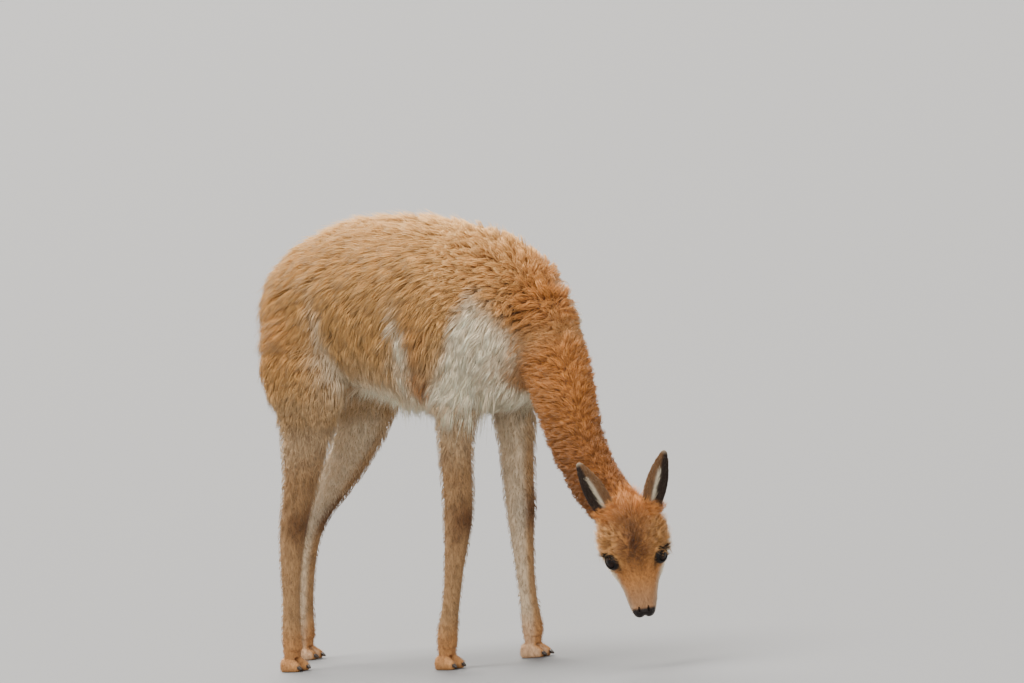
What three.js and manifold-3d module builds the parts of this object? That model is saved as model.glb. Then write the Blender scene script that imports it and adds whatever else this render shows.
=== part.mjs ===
// A life-size vicuna that grazes with its head low and stands on its four feet.
// Sizes are in millimetres. X points where the trunk heads, Y to the animal's left and Z up.
// Heights are counted from the floor, which is at z = 0.
import * as THREE from "three";
import { mergeVertices } from "three/addons/utils/BufferGeometryUtils.js";
import Module from "manifold-3d";

const wasm = await Module();
wasm.setup();

const UP = [0, 0, 1];
const AHEAD = [1, 0, 0];
const BEHIND = [-1, 0, 0];
const SIDES = { right: -1, left: 1 };

// Gaps that parts which meet keep between their faces, and to the tufts of a neighbour
const GAP = 0.3;
const TUFT_GAP = 0.9;

// Colours and finishes of the coat and the bare parts
const FINISHES = {
  fawn: { color: 0xc8995f, roughness: 0.95 },
  rust: { color: 0xbd7c3d, roughness: 0.95 },
  tan: { color: 0xb58a5c, roughness: 0.9 },
  ear: { color: 0x8a5f38, roughness: 0.9 },
  eye: { color: 0x0c0806, roughness: 0.08 },
  nail: { color: 0x2c241f, roughness: 0.5 },
};

// Each section below has its middle, its half width and how far it reaches over and under the middle.
// The trunk's and neck's sections are the core of the fleece, half as deep as its tips reach.
const TRUNK = [
  { at: [-222, 0, 700], half: 54, over: 58, under: 62 },
  { at: [-192, 0, 705], half: 94, over: 102, under: 122 },
  { at: [-112, 0, 715], half: 122, over: 142, under: 152 },
  { at: [0, 0, 725], half: 131, over: 161, under: 148 },
  { at: [110, 0, 715], half: 136, over: 174, under: 166 },
  { at: [220, 0, 700], half: 137, over: 181, under: 190 },
  { at: [320, 0, 690], half: 131, over: 172, under: 188 },
  { at: [410, 0, 675], half: 120, over: 153, under: 162 },
  { at: [484, 0, 665], half: 99, over: 122, under: 126 },
  { at: [520, 0, 665], half: 68, over: 80, under: 88 },
];
const TRUNK_ENDS = [22, 18];

const NECK = [
  { at: [440, 0, 735], half: 50, over: 50, under: 56 },
  { at: [500, -4, 690], half: 66, over: 72, under: 84 },
  { at: [548, -12, 620], half: 64, over: 64, under: 78 },
  { at: [584, -28, 540], half: 56, over: 54, under: 62 },
  { at: [610, -42, 463], half: 51, over: 51, under: 53 },
  { at: [650, -52, 384], half: 48, over: 49, under: 50 },
  { at: [694, -54, 332], half: 47, over: 50, under: 53 },
  { at: [728, -46, 298], half: 42, over: 48, under: 51 },
];
const NECK_ENDS = [20, 24];
const CREST_SIDE = [0.75, -0.25, 0.6];

// Head in its own frame: x out of the forehead, y to its left and z from the nose to the poll
const HEAD_PLACE = [780, -73, 212];
const HEAD_TURN = THREE.MathUtils.degToRad(-43);
const HEAD_TILT = THREE.MathUtils.degToRad(2);
const HEAD = [
  { at: [-16, 0, 94], half: 40, over: 34, under: 36 },
  { at: [-9, 0, 68], half: 55, over: 46, under: 48 },
  { at: [-4, 0, 30], half: 64, over: 52, under: 60 },
  { at: [0, 0, 0], half: 58, over: 47, under: 64 },
  { at: [1, 0, -32], half: 47, over: 37, under: 54 },
  { at: [1, 0, -62], half: 36, over: 30, under: 42 },
  { at: [0, 0, -88], half: 31, over: 26, under: 32 },
  { at: [-1, 0, -104], half: 26, over: 21, under: 25 },
];
const HEAD_ENDS = [12, 12];
const EYE_PLACE = [16, 43, 0];
const EYE_RADIUS = 15.5;
const EYE_OUTWARD = THREE.MathUtils.degToRad(52);
const LID_LENGTH = 14.5;
const LID_WIDTH = 11.5;
const LID_THICKNESS = 3.2;
const LID_REACH = 8;

// Swellings of the face: place, radii
const BROW = { at: [8, 39, 9], radii: [24, 22, 22] };
const CHEEK = { at: [-24, 32, -10], radii: [34, 22, 42] };
const UPPER_LIP = { at: [6, 10, -101], radii: [19, 16, 19] };
const LOWER_LIP = { at: [-17, 0, -97], radii: [12, 17, 17] };
const NOSE_PAD = { at: [14, 0, -106], radii: [10, 14, 8] };
const NOSTRIL = { at: [23, 9, -97], radii: [9, 2.8, 6] };
const MOUTH_SLOT = { at: [-9, 0, -100], size: [2.2, 80, 50] };
const LIP_SPLIT = { at: [20, 0, -116], size: [30, 1.6, 22] };
const GROOVE_DEPTH = 4;

const EAR_ROOT = [2, 42, 88];
const EAR_TIP = [2, 86, 200];
const EAR_HALF_WIDTH = 22;
const EAR_DEPTH = 14;
const EAR_WALL = 3.2;
const EAR_TURN = 0.55;
// Shares of the ear's length, half width and depth from root to tip
const EAR_LEAF = [
  [0, 0.62, 1],
  [0.2, 0.86, 1],
  [0.45, 1, 0.9],
  [0.7, 0.78, 0.65],
  [0.88, 0.42, 0.4],
];

// Tail, which hangs down behind the rump
const TAIL = [
  { at: [-198, 0, 800], half: 20, over: 16, under: 16 },
  { at: [-246, 0, 768], half: 26, over: 15, under: 14 },
  { at: [-266, 0, 705], half: 33, over: 13, under: 12 },
  { at: [-274, 0, 650], half: 30, over: 11, under: 10 },
];
const TAIL_ENDS = [10, 14];

// Legs from top to bottom: half width, reach to the front and to the back
const LEGS = {
  hind_right: [
    { at: [-70, -70, 712], half: 48, over: 74, under: 74 },
    { at: [-94, -90, 652], half: 58, over: 106, under: 104 },
    { at: [-102, -90, 600], half: 54, over: 104, under: 100 },
    { at: [-97, -88, 528], half: 43, over: 74, under: 76 },
    { at: [-112, -87, 488], half: 38, over: 58, under: 62 },
    { at: [-134, -86, 428], half: 34, over: 46, under: 48 },
    { at: [-156, -85, 367], half: 29, over: 36, under: 38 },
    { at: [-178, -85, 315], half: 26, over: 32, under: 36 },
    { at: [-192, -85, 280], half: 25, over: 31, under: 35 },
    { at: [-207, -85, 226], half: 22, over: 25, under: 28 },
    { at: [-217, -85, 165], half: 20, over: 19, under: 20 },
    { at: [-227, -85, 104], half: 20, over: 19, under: 21 },
    { at: [-232, -85, 66], half: 23, over: 22, under: 24 },
    { at: [-230, -85, 40], half: 22, over: 20, under: 22 },
  ],
  hind_left: [
    { at: [-70, 70, 712], half: 48, over: 74, under: 74 },
    { at: [-94, 90, 652], half: 58, over: 104, under: 104 },
    { at: [-106, 90, 600], half: 54, over: 98, under: 96 },
    { at: [-114, 88, 528], half: 43, over: 72, under: 78 },
    { at: [-138, 87, 472], half: 38, over: 54, under: 62 },
    { at: [-180, 86, 420], half: 34, over: 44, under: 50 },
    { at: [-236, 85, 366], half: 29, over: 38, under: 38 },
    { at: [-292, 85, 320], half: 26, over: 32, under: 35 },
    { at: [-328, 85, 280], half: 25, over: 30, under: 36 },
    { at: [-352, 85, 222], half: 22, over: 24, under: 28 },
    { at: [-366, 85, 163], half: 20, over: 19, under: 20 },
    { at: [-378, 85, 104], half: 20, over: 19, under: 21 },
    { at: [-385, 85, 66], half: 23, over: 22, under: 24 },
    { at: [-384, 85, 40], half: 22, over: 20, under: 22 },
  ],
  fore_right: [
    { at: [345, -58, 640], half: 36, over: 60, under: 60 },
    { at: [330, -70, 540], half: 35, over: 50, under: 52 },
    { at: [320, -82, 474], half: 29, over: 38, under: 40 },
    { at: [314, -82, 420], half: 28, over: 35, under: 37 },
    { at: [308, -81, 370], half: 27, over: 33, under: 34 },
    { at: [301, -80, 315], half: 27, over: 34, under: 33 },
    { at: [290, -80, 272], half: 26, over: 30, under: 30 },
    { at: [275, -80, 225], half: 21, over: 23, under: 24 },
    { at: [254, -80, 145], half: 18, over: 18, under: 19 },
    { at: [236, -80, 95], half: 20, over: 19, under: 21 },
    { at: [226, -80, 64], half: 23, over: 22, under: 25 },
    { at: [224, -80, 40], half: 22, over: 20, under: 22 },
  ],
  fore_left: [
    { at: [345, 58, 640], half: 36, over: 60, under: 60 },
    { at: [328, 70, 540], half: 35, over: 52, under: 54 },
    { at: [318, 82, 460], half: 31, over: 42, under: 42 },
    { at: [313, 82, 400], half: 29, over: 38, under: 38 },
    { at: [309, 81, 345], half: 28, over: 35, under: 35 },
    { at: [308, 80, 300], half: 27, over: 34, under: 33 },
    { at: [303, 80, 255], half: 24, over: 28, under: 28 },
    { at: [301, 80, 205], half: 21, over: 23, under: 24 },
    { at: [300, 80, 145], half: 18, over: 18, under: 19 },
    { at: [302, 80, 95], half: 20, over: 19, under: 21 },
    { at: [304, 80, 64], half: 23, over: 22, under: 25 },
    { at: [303, 80, 40], half: 22, over: 20, under: 22 },
  ],
};
const LEG_ENDS = [20, 4];
const THIGH_CUT = 455;

// Foot in its own frame: x to the toes, z up from the floor
const FOOT_TOP = 56;
const TOE_OFFSET = 11;
const TOE = [
  { at: [-16, 0, 15], half: 11, over: 15, under: 22 },
  { at: [4, 0, 14], half: 12.5, over: 19, under: 20 },
  { at: [27, 1, 9], half: 10.5, over: 11, under: 13 },
];
const PASTERN = [
  { at: [6, 0, 62], half: 22, over: 20, under: 22 },
  { at: [2, 0, 30], half: 22, over: 20, under: 20 },
];
const NAIL = [
  { at: [29, 1, 12], half: 7.5, over: 5, under: 7 },
  { at: [41, 0, 6], half: 3.5, over: 3, under: 3 },
];
const NAIL_CLEARANCE = 0.2;
const FEET = {
  hind_right: { at: [-239, -85, 0], turn: -6 },
  hind_left: { at: [-391, 85, 0], turn: 8 },
  fore_right: { at: [218, -80, 0], turn: -6 },
  fore_left: { at: [297, 80, 0], turn: 6 },
};

// Kinds of tuft: length, width and height, how deep the root is sunk, how far the tip rises off the
// surface and hangs, the radius it bends round as it follows the body, and rings of [share of the
// length, share of the width, share of the height] from root to tip
const CLUMP = {
  length: 118, width: 80, height: 30, sink: 13, rise: 10, droop: 0, bend: 260, sides: 5,
  rings: [[0.22, 0.85, 0.9], [0.72, 0.88, 0.9]],
};
const NECK_CLUMP = { ...CLUMP, length: 96, width: 58, height: 22, sink: 9, rise: 4, bend: 150 };
const THIGH_CLUMP = { ...CLUMP, length: 88, width: 60, height: 22, sink: 9, rise: 5, bend: 150 };
const LOCK = {
  length: 128, width: 46, height: 13, sink: 9, rise: 15, droop: 12, bend: 260, sides: 4,
  rings: [[0.1, 0.9, 1], [0.6, 0.85, 0.8]],
};
const BIB_LOCK = { ...LOCK, length: 165, width: 48, rise: 20, droop: 34 };
const THIGH_LOCK = { ...LOCK, length: 92, width: 46, rise: 16, droop: 6, bend: 400 };
const TAIL_LOCK = { ...LOCK, length: 84, width: 34, height: 10, sink: 6, rise: 8, droop: 4 };
const POLL_LOCK = { ...LOCK, length: 46, width: 24, height: 9, sink: 7, rise: 4, droop: 0, bend: 130 };

const direction = (x, y, z) => new THREE.Vector3(x, y, z).normalize();

// Repeatable random numbers between 0 and 1
function seeded(seed) {
  let state = seed;
  return () => {
    state = (state * 1664525 + 1013904223) % 4294967296;
    return state / 4294967296;
  };
}

// Closed solid from corner points and triangles, turned so that its faces point out
function solidFrom(points, triangles) {
  const vertProperties = new Float32Array(points.flatMap((p) => [p.x, p.y, p.z]));
  const build = (triVerts) =>
    new wasm.Manifold(new wasm.Mesh({ numProp: 3, vertProperties, triVerts: new Uint32Array(triVerts) }));
  const solid = build(triangles.flat());
  return solid.volume() > 0 ? solid : build(triangles.flatMap(([a, b, c]) => [a, c, b]));
}

// Solid between equal rings of points, closed by a tip point at each end
function tubeSolid(rings, firstTip, lastTip) {
  const sides = rings[0].length;
  const points = [...rings.flat(), firstTip, lastTip];
  const triangles = [];
  for (let r = 0; r < rings.length - 1; r += 1) {
    for (let k = 0; k < sides; k += 1) {
      const a = r * sides + k;
      const b = r * sides + ((k + 1) % sides);
      triangles.push([a, b, b + sides], [a, b + sides, a + sides]);
    }
  }
  const lastRing = (rings.length - 1) * sides;
  for (let k = 0; k < sides; k += 1) {
    const next = (k + 1) % sides;
    triangles.push([next, k, points.length - 2], [lastRing + k, lastRing + next, points.length - 1]);
  }
  return solidFrom(points, triangles);
}

// A form swept through oval cross-sections, with rounded ends.
// facing is the direction of each section's "over" side.
class Form {
  constructor(sections, { facing, sides, ends, endAngles = [30, 60] }) {
    this.path = new THREE.CatmullRomCurve3(sections.map((s) => new THREE.Vector3(...s.at)));
    const sizes = sections.map((s) => new THREE.Vector3(s.half, s.over, s.under));
    this.sizes = new THREE.CatmullRomCurve3(sizes, false, "catmullrom", 0.5);
    this.rows = sections.length - 1;
    this.facing = new THREE.Vector3(...facing);
    this.sides = sides;
    this.ends = ends;
    this.endAngles = endAngles;
  }

  // Middle, direction along the form, and size at a share of its length
  station(share) {
    return { centre: this.path.getPoint(share), along: this.path.getTangent(share), size: this.sizes.getPoint(share) };
  }

  // Point of a section at an angle, which is 0 at the left side and a quarter turn at the "over" side
  sectionPoint({ centre, along, size }, angle, grow) {
    const over = this.facing.clone().addScaledVector(along, -along.dot(this.facing)).normalize();
    const left = new THREE.Vector3().crossVectors(over, along);
    const sideways = (size.x + grow) * Math.cos(angle);
    const upward = ((Math.sin(angle) > 0 ? size.y : size.z) + grow) * Math.sin(angle);
    return centre.clone().addScaledVector(left, sideways).addScaledVector(over, upward);
  }

  // Stations that round an end off
  roundedEnd(station, way, length, grow) {
    return this.endAngles.map((degrees) => {
      const angle = THREE.MathUtils.degToRad(degrees);
      return {
        centre: station.centre.clone().addScaledVector(station.along, way * (length + grow) * Math.sin(angle)),
        along: station.along,
        size: station.size.clone().addScalar(grow).multiplyScalar(Math.cos(angle)).addScalar(-grow),
      };
    });
  }

  solid(grow = 0) {
    const stations = Array.from({ length: this.rows + 1 }, (_, i) => this.station(i / this.rows));
    const first = stations[0];
    const last = stations[this.rows];
    const all = [
      ...this.roundedEnd(first, -1, this.ends[0], grow).reverse(),
      ...stations,
      ...this.roundedEnd(last, 1, this.ends[1], grow),
    ];
    const rings = all.map((station) =>
      Array.from({ length: this.sides }, (_, k) =>
        this.sectionPoint(station, (k / this.sides) * Math.PI * 2, grow)));
    const firstTip = first.centre.clone().addScaledVector(first.along, -(this.ends[0] + grow));
    const lastTip = last.centre.clone().addScaledVector(last.along, this.ends[1] + grow);
    return tubeSolid(rings, firstTip, lastTip);
  }

  // Spot on the surface with its outward normal
  spot(share, angle) {
    const at = (s, a) => this.sectionPoint(this.station(s), a, 0);
    const step = 0.04;
    const point = at(share, angle);
    const lengthwise = at(Math.min(share + step, 1), angle).sub(at(Math.max(share - step, 0), angle));
    const round = at(share, angle + step).sub(at(share, angle - step));
    const normal = new THREE.Vector3().crossVectors(lengthwise, round).normalize();
    const { centre, along } = this.station(share);
    if (normal.dot(point.clone().sub(centre)) < 0) normal.negate();
    const over = this.facing.clone().addScaledVector(along, -along.dot(this.facing)).normalize();
    return { point, normal, along, over };
  }

  // Spots in staggered rows over part of the surface, about spacing apart, moved a little at random
  *spots({ shares, angles, spacing, random }) {
    const length = this.path.getLength() * (shares[1] - shares[0]);
    const rows = Math.max(2, Math.round(length / spacing[0]));
    for (let i = 0; i < rows; i += 1) {
      const share = shares[0] + ((i + 0.5 + (random() - 0.5) * 0.3) / rows) * (shares[1] - shares[0]);
      const size = this.station(share).size;
      const girth = ((size.x + (size.y + size.z) / 2) / 2) * Math.abs(angles[1] - angles[0]);
      const count = Math.max(2, Math.round(girth / spacing[1]));
      const offset = i % 2 ? 0.25 : 0.75;
      for (let k = 0; k < count; k += 1) {
        const turn = angles[0] + ((k + offset + (random() - 0.5) * 0.4) / count) * (angles[1] - angles[0]);
        yield this.spot(share, turn);
      }
    }
  }
}

// One clump or lock that grows from a spot and lies along a direction, bent to the surface
function tuft({ point, normal }, lie, kind, scale, grow) {
  const { length, width, height, sink, rise, droop, bend, sides, rings } = kind;
  const along = lie.clone().addScaledVector(normal, -normal.dot(lie)).normalize();
  const across = new THREE.Vector3().crossVectors(normal, along);
  const middle = (s) => {
    const run = length * scale * (s - 0.15);
    const lift = -sink + (sink + rise) * Math.min(1, s * 1.15) - (run * run) / (2 * bend);
    return point.clone()
      .addScaledVector(along, run)
      .addScaledVector(normal, lift)
      .add(new THREE.Vector3(0, 0, -droop * s * s));
  };
  const tip = (s, inner) => {
    const end = middle(s);
    return end.addScaledVector(end.clone().sub(middle(inner)).normalize(), 2 * grow);
  };
  const sections = rings.map(([s, wide, high]) =>
    Array.from({ length: sides }, (_, k) => {
      const angle = ((k + (sides > 4 ? 0.5 : 0)) / sides) * Math.PI * 2;
      return middle(s)
        .addScaledVector(across, Math.cos(angle) * (width * scale * wide * 0.5 + 1.5 * grow))
        .addScaledVector(normal, Math.sin(angle) * (height * high * 0.5 + 1.5 * grow));
    }));
  return tubeSolid(sections, tip(-0.08, rings[0][0]), tip(1, rings.at(-1)[0]));
}

// Tufts over the regions of one form: the same ones each time, or the same made larger by grow
function tuftsOn(form, regions, grow = 0) {
  return regions.flatMap(({ kind, shares, angles, spacing, lie, seed }) => {
    const random = seeded(seed);
    const turns = angles.map(THREE.MathUtils.degToRad);
    return Array.from(form.spots({ shares, angles: turns, spacing, random }), (spot) =>
      tuft(spot, lie(spot), kind, 0.85 + 0.3 * random(), grow));
  });
}

// All the given solids joined, two by two
function joined(solids) {
  let pieces = solids;
  while (pieces.length > 1) {
    const next = [];
    for (let i = 0; i < pieces.length; i += 2) {
      next.push(i + 1 < pieces.length ? pieces[i].add(pieces[i + 1]) : pieces[i]);
    }
    pieces = next;
  }
  return pieces[0];
}

// Solid of a closed three.js geometry at a place
function solidOf(geometry, place = [0, 0, 0]) {
  const bare = geometry.clone().translate(...place);
  bare.deleteAttribute("normal");
  bare.deleteAttribute("uv");
  const welded = mergeVertices(bare);
  const position = welded.getAttribute("position");
  const points = Array.from({ length: position.count }, (_, i) =>
    new THREE.Vector3().fromBufferAttribute(position, i));
  const corners = welded.index.array;
  const triangles = [];
  for (let i = 0; i < corners.length; i += 3) triangles.push([corners[i], corners[i + 1], corners[i + 2]]);
  return solidFrom(points, triangles);
}

// Swelling or hollow of the face, mirrored to a side
function ball({ at, radii }, side = 1, grow = 0) {
  const sphere = new THREE.SphereGeometry(1, 10, 7).scale(...radii.map((r) => r + grow));
  return solidOf(sphere, [at[0], side * at[1], at[2]]);
}

// A slab that keeps everything between two heights
function slab(low, high) {
  const size = 4000;
  return solidOf(new THREE.BoxGeometry(size, size, high - low), [0, 0, (low + high) / 2]);
}

// The largest closed piece of a solid, without scraps or sealed hollows
function largest(solid) {
  return solid.decompose().reduce((best, piece) => (piece.volume() > best.volume() ? piece : best));
}

function addMesh(parent, name, solid, finish) {
  const mesh = largest(solid).getMesh();
  const geometry = new THREE.BufferGeometry();
  geometry.setAttribute("position", new THREE.BufferAttribute(mesh.vertProperties, 3));
  geometry.setIndex(new THREE.BufferAttribute(mesh.triVerts, 1));
  geometry.computeVertexNormals();
  const part = new THREE.Mesh(geometry, new THREE.MeshStandardMaterial({ metalness: 0, ...FINISHES[finish] }));
  part.name = name;
  parent.add(part);
}

const trunk = new Form(TRUNK, { facing: UP, sides: 16, ends: TRUNK_ENDS });
const neck = new Form(NECK, { facing: CREST_SIDE, sides: 12, ends: NECK_ENDS });
const headCore = new Form(HEAD, { facing: AHEAD, sides: 16, ends: HEAD_ENDS });
const tail = new Form(TAIL, { facing: BEHIND, sides: 10, ends: TAIL_ENDS });
const legs = {};
for (const [name, sections] of Object.entries(LEGS)) {
  legs[name] = new Form(sections, { facing: AHEAD, sides: 8, ends: LEG_ENDS });
}

// Ways that the coat lies: back along the spine, steeper down the flanks, back under the chest
const BACK_LIE = direction(-1, 0, -0.25);
const FLANK_LIE = direction(-0.42, 0, -1);
const BIB_LIE = direction(-0.77, 0, -0.64);
const THIGH_LIE = direction(-0.42, 0, -1);
const trunkLie = ({ normal }) => FLANK_LIE.clone().lerp(BACK_LIE, Math.max(0, normal.z) ** 0.7);
const neckLie = ({ along, over }) => over.clone().multiplyScalar(-0.7).addScaledVector(along, -1);
const tailLie = ({ along }) => along;

// Angles round a form are 0 at its left, 90 on its back or front and 180 at its right
const TRUNK_COAT = [
  { kind: CLUMP, shares: [0.0, 1.0], angles: [-14, 194], spacing: [86, 62], lie: trunkLie, seed: 11 },
  { kind: LOCK, shares: [0.1, 0.62], angles: [194, 240], spacing: [54, 52], lie: () => FLANK_LIE, seed: 12 },
  { kind: LOCK, shares: [0.1, 0.62], angles: [-14, -60], spacing: [54, 52], lie: () => FLANK_LIE, seed: 13 },
  { kind: BIB_LOCK, shares: [0.6, 1.0], angles: [194, 346], spacing: [66, 60], lie: () => BIB_LIE, seed: 14 },
];
const NECK_COAT = [
  { kind: NECK_CLUMP, shares: [0.2, 0.96], angles: [0, 360], spacing: [72, 53], lie: neckLie, seed: 21 },
];
const TAIL_COAT = [
  { kind: TAIL_LOCK, shares: [0.3, 1], angles: [0, 360], spacing: [52, 44], lie: tailLie, seed: 31 },
];
const thighCoat = (outside, edge, seed) => [
  { kind: THIGH_CLUMP, shares: [0.03, 0.24], angles: outside, spacing: [60, 54], lie: () => THIGH_LIE, seed },
  { kind: THIGH_LOCK, shares: [0.25, 0.34], angles: edge, spacing: [60, 54], lie: () => THIGH_LIE, seed: seed + 1 },
];
const THIGH_COATS = {
  hind_right: thighCoat([100, 270], [90, 290], 41),
  hind_left: thighCoat([80, -90], [90, -110], 45),
};

// Small locks that stand between the ears
function pollLocks(grow) {
  const random = seeded(51);
  const rows = [-16, 0, 16].flatMap((y) => [0, 12].map((x) => [x, y]));
  return rows.map(([x, y]) => {
    const spot = { point: new THREE.Vector3(x, y, 92), normal: direction(0.8, y / 60, 0.3) };
    return tuft(spot, direction(0.1, y / 50, 1), POLL_LOCK, 0.85 + 0.3 * random(), grow);
  });
}

// Ear: a leaf with its cup cut out of the side that looks forward and outward
function ear(side, grow = 0) {
  const mirrored = ([x, y, z]) => new THREE.Vector3(x, side * y, z);
  const root = mirrored(EAR_ROOT);
  const tip = mirrored(EAR_TIP);
  const facing = [1, side * EAR_TURN, 0];
  const opening = direction(...facing);
  const leaf = (inset, push, from) =>
    new Form(
      EAR_LEAF.map(([share, width, depth]) => ({
        at: root.clone().lerp(tip, from + share * (1 - from)).addScaledVector(opening, push).toArray(),
        half: Math.max(EAR_HALF_WIDTH * width - inset, 1),
        over: Math.max(EAR_DEPTH * depth * 0.5 - inset * 0.3, 1),
        under: Math.max(EAR_DEPTH * depth - inset, 1),
      })),
      { facing, sides: 8, ends: [2, 12] },
    );
  const outer = leaf(0, 0, -0.12).solid(grow);
  return grow > 0 ? outer : outer.subtract(leaf(EAR_WALL, EAR_WALL * 1.6, 0.1).solid());
}

const eyeball = (side, grow = 0) =>
  ball({ at: EYE_PLACE, radii: [EYE_RADIUS, EYE_RADIUS, EYE_RADIUS] }, side, grow);

// Rim of the lids round an eye
function lids(side) {
  const ring = new THREE.TorusGeometry(1, LID_THICKNESS / LID_LENGTH, 4, 12);
  ring.scale(LID_WIDTH, LID_LENGTH, LID_LENGTH * 0.9);
  const outward = direction(Math.cos(EYE_OUTWARD), side * Math.sin(EYE_OUTWARD), 0);
  const across = new THREE.Vector3().crossVectors(direction(0, 0, 1), outward);
  const turn = new THREE.Matrix4().makeBasis(direction(0, 0, 1), across.negate(), outward);
  ring.applyMatrix4(turn);
  const [x, y, z] = EYE_PLACE;
  return solidOf(ring, [x + outward.x * LID_REACH, side * y + outward.y * LID_REACH, z]);
}

// A flat block that cuts a groove only as deep as the skin of the form
function groove({ at, size }, form) {
  return solidOf(new THREE.BoxGeometry(...size), at).subtract(form);
}

function headSolid(grow = 0) {
  const swellings = [headCore.solid(grow), ball(NOSE_PAD, 1, grow), ball(LOWER_LIP, 1, grow)];
  for (const side of Object.values(SIDES)) {
    swellings.push(ball(BROW, side, grow), ball(CHEEK, side, grow), ball(UPPER_LIP, side, grow));
  }
  return joined([...swellings, ...pollLocks(grow > 0 ? TUFT_GAP : grow)]);
}

function finishedHead() {
  const inner = headSolid(-GROOVE_DEPTH);
  let head = headSolid();
  for (const side of Object.values(SIDES)) {
    head = head.add(lids(side)).subtract(eyeball(side, GAP)).subtract(ball(NOSTRIL, side));
  }
  return head.subtract(groove(MOUTH_SLOT, inner)).subtract(groove(LIP_SPLIT, inner));
}

// Foot: pastern and two toes on flat pads
function foot(grow = 0) {
  const toes = Object.values(SIDES).map((side) => {
    const sections = TOE.map((s) => ({ ...s, at: [s.at[0], side * (TOE_OFFSET + s.at[1]), s.at[2]] }));
    return new Form(sections, { facing: UP, sides: 6, ends: [7, 8], endAngles: [45] }).solid(grow);
  });
  const pastern = new Form(PASTERN, { facing: AHEAD, sides: 8, ends: [4, 4], endAngles: [45] }).solid(grow);
  return joined([...toes, pastern]).intersect(slab(0, FOOT_TOP));
}

// Toenail: a short curved horn on the tip of one toe, just clear of the floor
function toenail(side) {
  const sections = NAIL.map((s) => ({ ...s, at: [s.at[0], side * (TOE_OFFSET + s.at[1]), s.at[2]] }));
  const horn = new Form(sections, { facing: UP, sides: 5, ends: [3, 3], endAngles: [45] }).solid();
  return horn.subtract(foot(GAP)).intersect(slab(NAIL_CLEARANCE, FOOT_TOP));
}

const vicuna = new THREE.Group();
const headGroup = new THREE.Group();
headGroup.position.set(...HEAD_PLACE);
headGroup.rotation.set(HEAD_TILT, 0, HEAD_TURN, "ZYX");
headGroup.updateMatrixWorld(true);
vicuna.add(headGroup);
const toBody = headGroup.matrixWorld.elements;
const toHead = headGroup.matrixWorld.clone().invert().elements;

// Torso, with a socket for the neck, the tail and each leg
const trunkGrown = joined([trunk.solid(GAP), ...tuftsOn(trunk, TRUNK_COAT, TUFT_GAP)]);
const sockets = [neck.solid(GAP), tail.solid(GAP), ...Object.values(legs).map((leg) => leg.solid(GAP))];
const torso = joined([trunk.solid(), ...tuftsOn(trunk, TRUNK_COAT)]).subtract(joined(sockets));
addMesh(vicuna, "torso", torso, "fawn");

// Neck, from the trunk to the back of the head
const headGrown = headSolid(GAP);
const neckTufts = joined(tuftsOn(neck, NECK_COAT)).subtract(trunkGrown);
const neckSolid = neck.solid().add(neckTufts).subtract(headGrown.transform(toBody));
addMesh(vicuna, "neck", neckSolid, "rust");
const neckGrown = joined([neck.solid(GAP), ...tuftsOn(neck, NECK_COAT, TUFT_GAP)]).transform(toHead);

const tailTufts = joined(tuftsOn(tail, TAIL_COAT)).subtract(trunkGrown);
addMesh(vicuna, "tail", tail.solid().add(tailTufts), "fawn");

for (const [name, leg] of Object.entries(legs)) {
  const lowest = FOOT_TOP + GAP;
  if (THIGH_COATS[name]) {
    const side = name.split("_")[1];
    const below = leg.solid(GAP).intersect(slab(0, THIGH_CUT + GAP / 2));
    const locks = joined(tuftsOn(leg, THIGH_COATS[name])).subtract(trunkGrown).subtract(below);
    const thigh = leg.solid().intersect(slab(THIGH_CUT + GAP / 2, 1000)).add(locks);
    addMesh(vicuna, `thigh_${side}`, thigh, "fawn");
    addMesh(vicuna, `leg_${name}`, leg.solid().intersect(slab(lowest, THIGH_CUT - GAP / 2)), "tan");
  } else {
    addMesh(vicuna, `leg_${name}`, leg.solid().intersect(slab(lowest, 1000)), "tan");
  }
}

for (const [name, { at, turn }] of Object.entries(FEET)) {
  const group = new THREE.Group();
  group.position.set(...at);
  group.rotation.z = THREE.MathUtils.degToRad(turn);
  vicuna.add(group);
  addMesh(group, `foot_${name}`, foot(), "tan");
  for (const [word, side] of Object.entries(SIDES)) {
    addMesh(group, `nail_${name}_${word}`, toenail(side), "nail");
  }
}

for (const [word, side] of Object.entries(SIDES)) {
  addMesh(headGroup, `eye_${word}`, eyeball(side), "eye");
  addMesh(headGroup, `ear_${word}`, ear(side).subtract(headGrown).subtract(neckGrown), "ear");
}
addMesh(headGroup, "head", finishedHead(), "rust");

// The origin is moved to the middle of the standing form, on the floor
const bounds = new THREE.Box3().setFromObject(vicuna, true);
const middle = bounds.getCenter(new THREE.Vector3());
vicuna.position.set(-middle.x, -middle.y, 0);

export default vicuna;
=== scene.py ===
"""A life-size vicuna that grazes, made ready for a studio picture.

The skin is one closed surface under the whole coat. The fleece, the long locks of the chest and belly,
and the short hair of the legs and face are tufts of solid mesh that grow from it.
"""
import math

import bmesh
import bpy
import numpy as np
from mathutils import Matrix, Vector
from mathutils.bvhtree import BVHTree
from mathutils.kdtree import KDTree


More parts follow.
